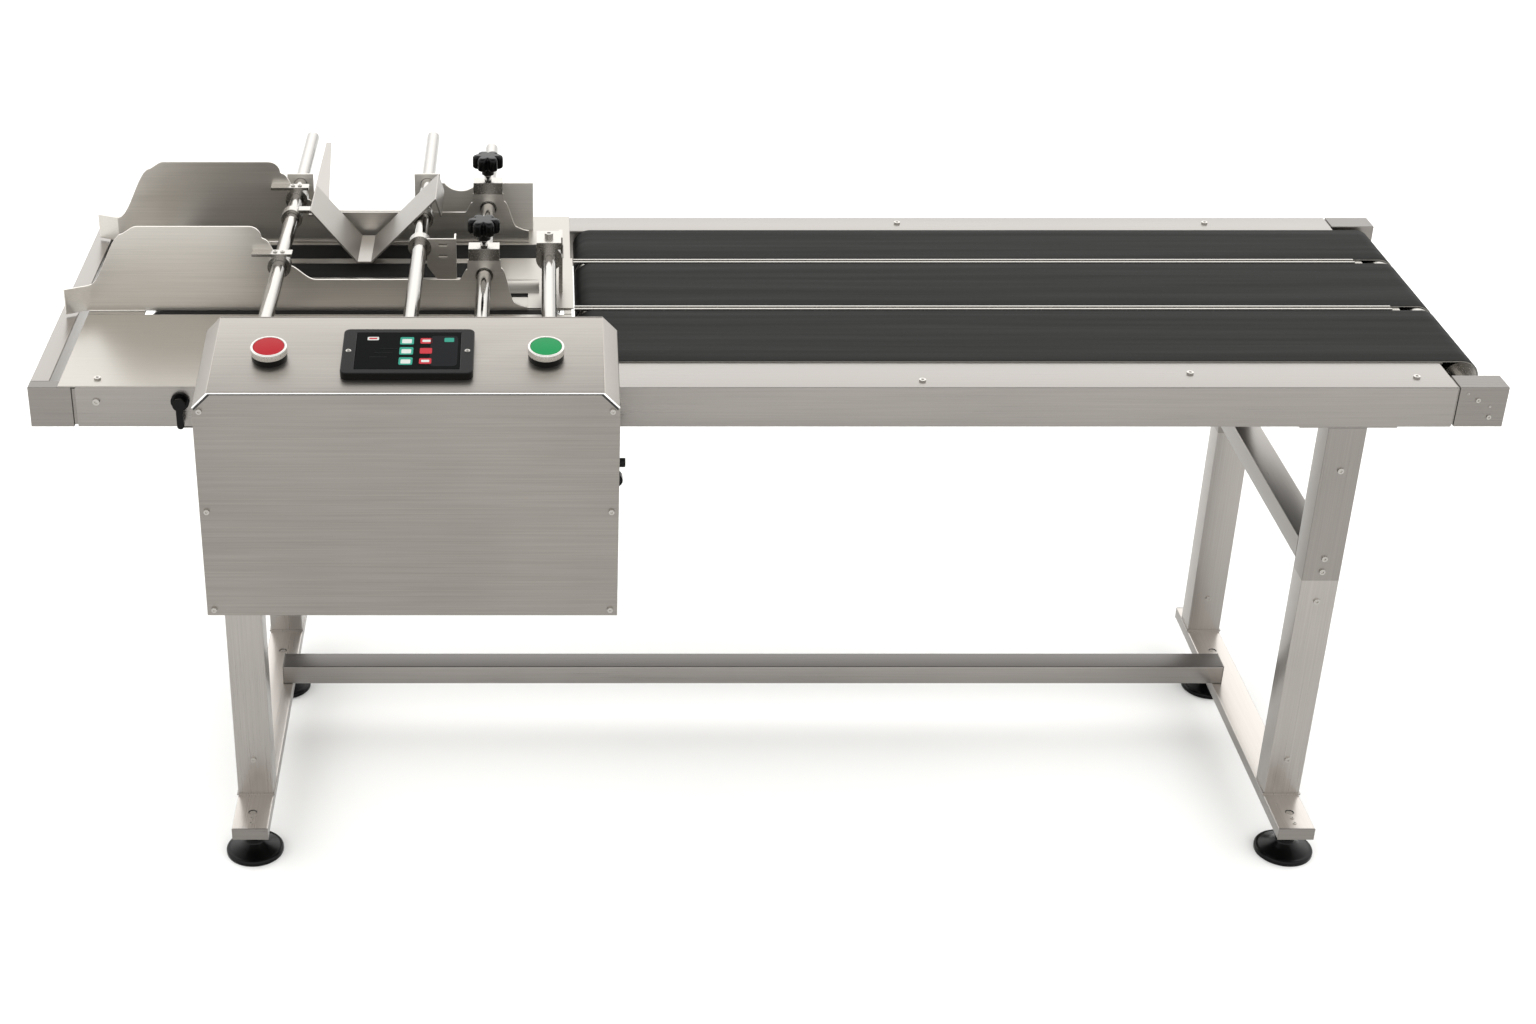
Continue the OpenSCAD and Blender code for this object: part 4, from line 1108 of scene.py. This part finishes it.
@dataclass
class TouchScreen:
    """Picture on the touch screen: rows of plain tiles, and the bezel's two screws."""

    pitch_mm: float = 22.0
    half_glass: float = 1.35 * MM
    lift: float = 0.12 * MM
    layer: float = 0.06 * MM
    layers: int = 4
    squareness: float = 9.0
    screw_reach: float = 73.0 * MM
    screw_lift: float = 0.2 * MM

    def tiles(self) -> list[Tile]:
        """Lays out the tiles: two columns of three, a side bar, a title and a panel.

        Returns:
            The tiles from the lowest layer up, where a pale tile lies on each frame.
        """
        made = [Tile(44, 0, 34, 66, Finish.PANEL), Tile(50, 24, 12, 9, Finish.TEAL)]
        made += [Tile(-44, 27, 14, 7, Finish.PALE), Tile(-44, 27, 10, 3, Finish.SCARLET)]
        for row in (-1, 0, 1):
            made += [
                Tile(-2, row * self.pitch_mm, 17, 16, Finish.TEAL),
                Tile(-2, row * self.pitch_mm - 1, 12, 9, Finish.PALE),
                Tile(22, row * self.pitch_mm, 15, 12, Finish.SCARLET),
                Tile(22, row * self.pitch_mm, 10, 5, Finish.PALE),
            ]
            made.append(Tile(-30 + 6 * row, row * 9 - 4, 22, 1.2, Finish.PANEL))
        return made

    def build(self) -> None:
        """Makes one piece for each colour of tile, and the two screws."""
        place = BoxTop().seat("display_screen", -self.half_glass)
        tiles = self.tiles()
        for finish in (Finish.PANEL, Finish.TEAL, Finish.PALE, Finish.SCARLET):
            plates = [
                carried(self.plate(tile, number % self.layers), place)
                for number, tile in enumerate(tiles)
                if tile.finish is finish
            ]
            piece(
                "screen_tiles_" + finish.name.lower(),
                join(plates),
                [finish],
                BODY_OF["display_screen"],
                SLOT_OF["display_screen"],
            )
        self.screws(place)

    def plate(self, tile: Tile, level: int) -> Shape:
        """Works out one tile: rings of a rounded rectangle that close at its middle.

        The outline is a superellipse: x = w |cos a|^(2/n) sign(cos a), and y likewise with
        sin a, where n is the squareness. The higher it is, the tighter the corners are.

        Args:
            tile: The tile.
            level: Its layer in the pile, so that a tile never lies in the face of another.

        Returns:
            Vertices and quads, with the screen's face at a height of 0.
        """
        angle = np.linspace(0, 2 * np.pi, 48, endpoint=False)
        round_part = np.stack([np.cos(angle), np.sin(angle)], axis=-1)
        squared = np.sign(round_part) * np.abs(round_part) ** (2 / self.squareness)
        outline = squared * np.array([tile.width_mm, tile.depth_mm]) / 2 * MM
        middle = np.array([tile.x_mm, tile.y_mm]) * MM
        top = self.lift + level * self.layer
        rings = [
            np.hstack([outline * share + middle, np.full((len(angle), 1), height)])
            for share, height in ((0.0, 0.0), (1.0, 0.0), (1.0, top), (0.0, top))
        ]
        return surface(np.stack(rings), around=True)

    def screws(self, place: Matrix) -> None:
        """Makes the two screws in the bezel's ends: domed heads with a round socket.

        Args:
            place: The matrix of the screen's face.
        """
        outline_mm = np.array(
            [[0, 0], [3.4, 0], [3.4, 0.5], [2.8, 1.0], [1.2, 1.2], [1.0, 0.6], [0, 0.6]]
        )
        heads = [
            carried(
                lathe(outline_mm * MM, 24),
                place @ Matrix.Translation((side * self.screw_reach, 0, self.screw_lift)),
            )
            for side in (-1, 1)
        ]
        piece(
            "display_screws",
            join(heads),
            [Finish.FITTING],
            BODY_OF["display_housing"],
            SLOT_OF["frame_screws"],
        )


@dataclass
class CoverSeam:
    """Rolled edge along the top of the control box's front cover, bright as a painted highlight,
    and a dark strip below it that is painted shade in the seam.

    A section's points say how far each is set in from the cover's edge, and how far it
    stands out from the cover.
    """

    chamfer: float = 19.0 * MM
    bead_mm: tuple = ((0.2, 0.0), (1.1, 0.9), (1.6, 0.2), (1.6, 0.0))
    seam_shade_mm: tuple = ((1.5, 0.0), (1.5, 0.3), (3.0, 0.3), (3.0, 0.0))

    def build(self) -> None:
        """Makes the bead, bright with a painted highlight, and the dark strip of painted shade
        below it.
        """
        # The bead's bright finish is a painted highlight; the dark strip is painted shade in the
        # seam between the box top and the cover.
        for name, section_mm, finish in (
            ("cover_bead", self.bead_mm, Finish.PAINTED_FOLD_HIGHLIGHT),
            ("cover_seam_shade", self.seam_shade_mm, Finish.RUBBER_AND_SEAM_SHADE),
        ):
            piece(
                name,
                self.strip(np.array(section_mm) * MM),
                [finish],
                BODY_OF["box_front_cover"],
                SLOT_OF["box_front_cover"],
            )

    def strip(self, section: np.ndarray) -> Shape:
        """Carries a section along the cover's upper outline, with mitred corners.

        Set in by d, the outline keeps its 45 degree corners, and each corner's cut grows by
        d (sqrt 2 - 1).

        Args:
            section: For each point, how far it is set in and how far it stands out.

        Returns:
            Vertices and quads, closed at both ends.
        """
        low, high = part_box("box_front_cover")
        inset, out = section.T
        cut = self.chamfer + inset * (math.sqrt(2) - 1)
        left, right, top = low.x + inset, high.x - inset, high.z - inset
        turns = [(left, top - cut), (left + cut, top), (right - cut, top), (right, top - cut)]
        rings = [np.stack([x, low.y - out, z], axis=-1) for x, z in turns]
        ends = [np.tile(rings[side].mean(axis=0), (len(section), 1)) for side in (0, -1)]
        return surface(np.stack([ends[0], *rings, ends[1]]), around=True)


# ---------- Knobs and feet ----------


@dataclass
class StarKnob:
    """Six-lobed nylon knob on a steel stud."""

    node: str
    lobes: int = 6
    radius: float = 22 * MM
    lobe_radius: float = 6.5 * MM
    height: float = 20 * MM
    hub_height: float = 9 * MM
    hub_radius: float = 9 * MM
    stud_radius: float = 5 * MM

    def build(self) -> None:
        """Makes the knob and its stud."""
        low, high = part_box(self.node)
        centre = Vector(((low.x + high.x) / 2, (low.y + high.y) / 2, high.z - self.height))
        place = Matrix.Translation(centre)
        star = carried(self.star(), place)
        stud = carried(lathe(self.stud_outline(low.z - centre.z), 32), place)
        rides = (BODY_OF[self.node], SLOT_OF[self.node], (self.node,))
        piece(self.node + "_star", star, [Finish.NYLON], *rides, sharp=50)
        piece(self.node + "_stud", stud, [Finish.ROD], *rides)

    def star(self) -> Shape:
        """Works out the star.

        Around the axis the outline is the smooth largest of a core circle and the lobe
        circles: r(a) = (core^p + lobe(a)^p)^(1/p), where lobe(a) = d cos b + sqrt(q^2 -
        d^2 sin^2 b) and b is the angle from the nearest lobe. Up the side it is scaled by
        a rounded profile, and its lobes fade into the round hub below.

        Returns:
            Vertices and quads.
        """
        angle = np.linspace(0, 2 * np.pi, 144, endpoint=False)
        apart = (angle * self.lobes + np.pi) % (2 * np.pi) - np.pi
        b = apart / self.lobes
        reach = self.radius - self.lobe_radius
        inside = np.maximum(self.lobe_radius**2 - (reach * np.sin(b)) ** 2, 0)
        lobe = np.where(inside > 0, reach * np.cos(b) + np.sqrt(inside), 0)
        power = 14.0
        core = self.radius - self.lobe_radius - 0.8 * MM
        outline = (core**power + lobe**power) ** (1 / power)
        outline *= self.radius / outline.max()
        h, hub, base = self.height, self.hub_radius, -self.hub_height
        levels = np.array(
            [
                [0.00, 0, base], [0.96, 0, base], [1.00, 0, base + 0.5 * MM],
                [1.00, 0, -1.5 * MM], [1.02, 0.02, -0.4 * MM], [0.00, 0.62, 0.0],
                [0.00, 0.90, 0.6 * MM], [0.00, 0.97, 1.6 * MM], [0.00, 1.00, 3.2 * MM],
                [0.00, 1.00, h - 5.5 * MM], [0.00, 0.985, h - 3.2 * MM],
                [0.00, 0.93, h - 1.4 * MM], [0.00, 0.84, h - 0.4 * MM],
                [0.00, 0.76, h - 0.1 * MM], [0.00, 0.60, h], [0.00, 0.50, h],
                [0.00, 0.30, h], [0.00, 0.0, h],
            ]
        )
        round_part = levels[:, :1] * hub
        radius = round_part + levels[:, 1:2] * outline[None, :]
        grid = np.stack(
            [
                radius * np.cos(angle),
                radius * np.sin(angle),
                np.broadcast_to(levels[:, 2:], radius.shape),
            ],
            axis=-1,
        )
        return surface(grid, around=True)

    def stud_outline(self, foot: float) -> np.ndarray:
        """Gives the stud with a thread of 1.5 mm pitch and a chamfered tip.

        Args:
            foot: Height of the tip below the knob.

        Returns:
            Radius and height of each point.
        """
        pitch, depth, r = 1.5 * MM, 0.6 * MM, self.stud_radius
        top = -self.hub_height + 0.5 * MM
        ridges = thread(foot, top, r, pitch, depth)
        tip = [[0, foot], [r - 2 * depth, foot]]
        return np.concatenate([tip, ridges, [[r - depth, top], [0, top]]])


@dataclass
class LevellingFoot:
    """Round pad with a raised rim and a coned top, on a threaded stem."""

    node: str
    pad_radius: float = 40 * MM
    neck_radius: float = 13 * MM
    pad_height: float = 25 * MM
    stem_radius: float = 6 * MM

    def build(self) -> None:
        """Makes the pad and the stem."""
        low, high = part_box(self.node)
        place = Matrix.Translation(((low.x + high.x) / 2, (low.y + high.y) / 2, low.z))
        pad = carried(lathe(self.pad_outline(), 96), place)
        stem = carried(lathe(self.stem_outline(high.z - low.z), 32), place)
        rides = (BODY_OF[self.node], SLOT_OF[self.node], (self.node,))
        piece(self.node + "_pad", pad, [Finish.NYLON], *rides)
        piece(self.node + "_stem", stem, [Finish.FITTING], *rides)

    def pad_outline(self) -> np.ndarray:
        """Gives the pad: a flat foot, a rounded rim, a shallow dish and a domed neck."""
        r, neck, top = self.pad_radius, self.neck_radius, self.pad_height
        corners = np.array(
            [
                [0, 0],
                [r - 1 * MM, 0],
                [r, 1 * MM],
                [r, 6 * MM],
                [r - 2 * MM, 8 * MM],
                [r - 5 * MM, 8 * MM],
                [neck + 8 * MM, 13.5 * MM],
                [neck, 20 * MM],
                [neck, top],
                [self.stem_radius + 0.2 * MM, top],
                [self.stem_radius + 0.2 * MM, 12 * MM],
                [0, 12 * MM],
            ]
        )
        return round_corners(
            corners, np.array([0, 0.5, 0.5, 1.2, 0.9, 1.2, 3.5, 2.2, 1.5, 0.5, 0.5, 0]) * MM
        )

    def stem_outline(self, top: float) -> np.ndarray:
        """Gives the stem with a thread of 1.75 mm pitch.

        Args:
            top: Height of the stem's upper end above the floor.

        Returns:
            Radius and height of each point.
        """
        pitch, depth, foot = 1.75 * MM, 0.9 * MM, 12.1 * MM
        core = self.stem_radius - depth
        ridges = thread(foot, top, self.stem_radius, pitch, depth)
        return np.concatenate([[[0, foot], [core, foot]], ridges, [[core, top], [0, top]]])


def main() -> None:
    """Builds the stage, then each sub-assembly in order."""
    logging.basicConfig(level=logging.INFO, format="%(name)s %(message)s")
    Stage().build()
    DressedPieces().build()
    BeltSet().build()
    PushButtons().build()
    TouchScreen().build()
    CoverSeam().build()
    for knob in ("front_guide_knob", "rear_guide_knob"):
        StarKnob(knob).build()
    for corner in ("front_left", "front_right", "rear_left", "rear_right"):
        LevellingFoot("foot_" + corner).build()


if __name__ == "__main__":
    main()
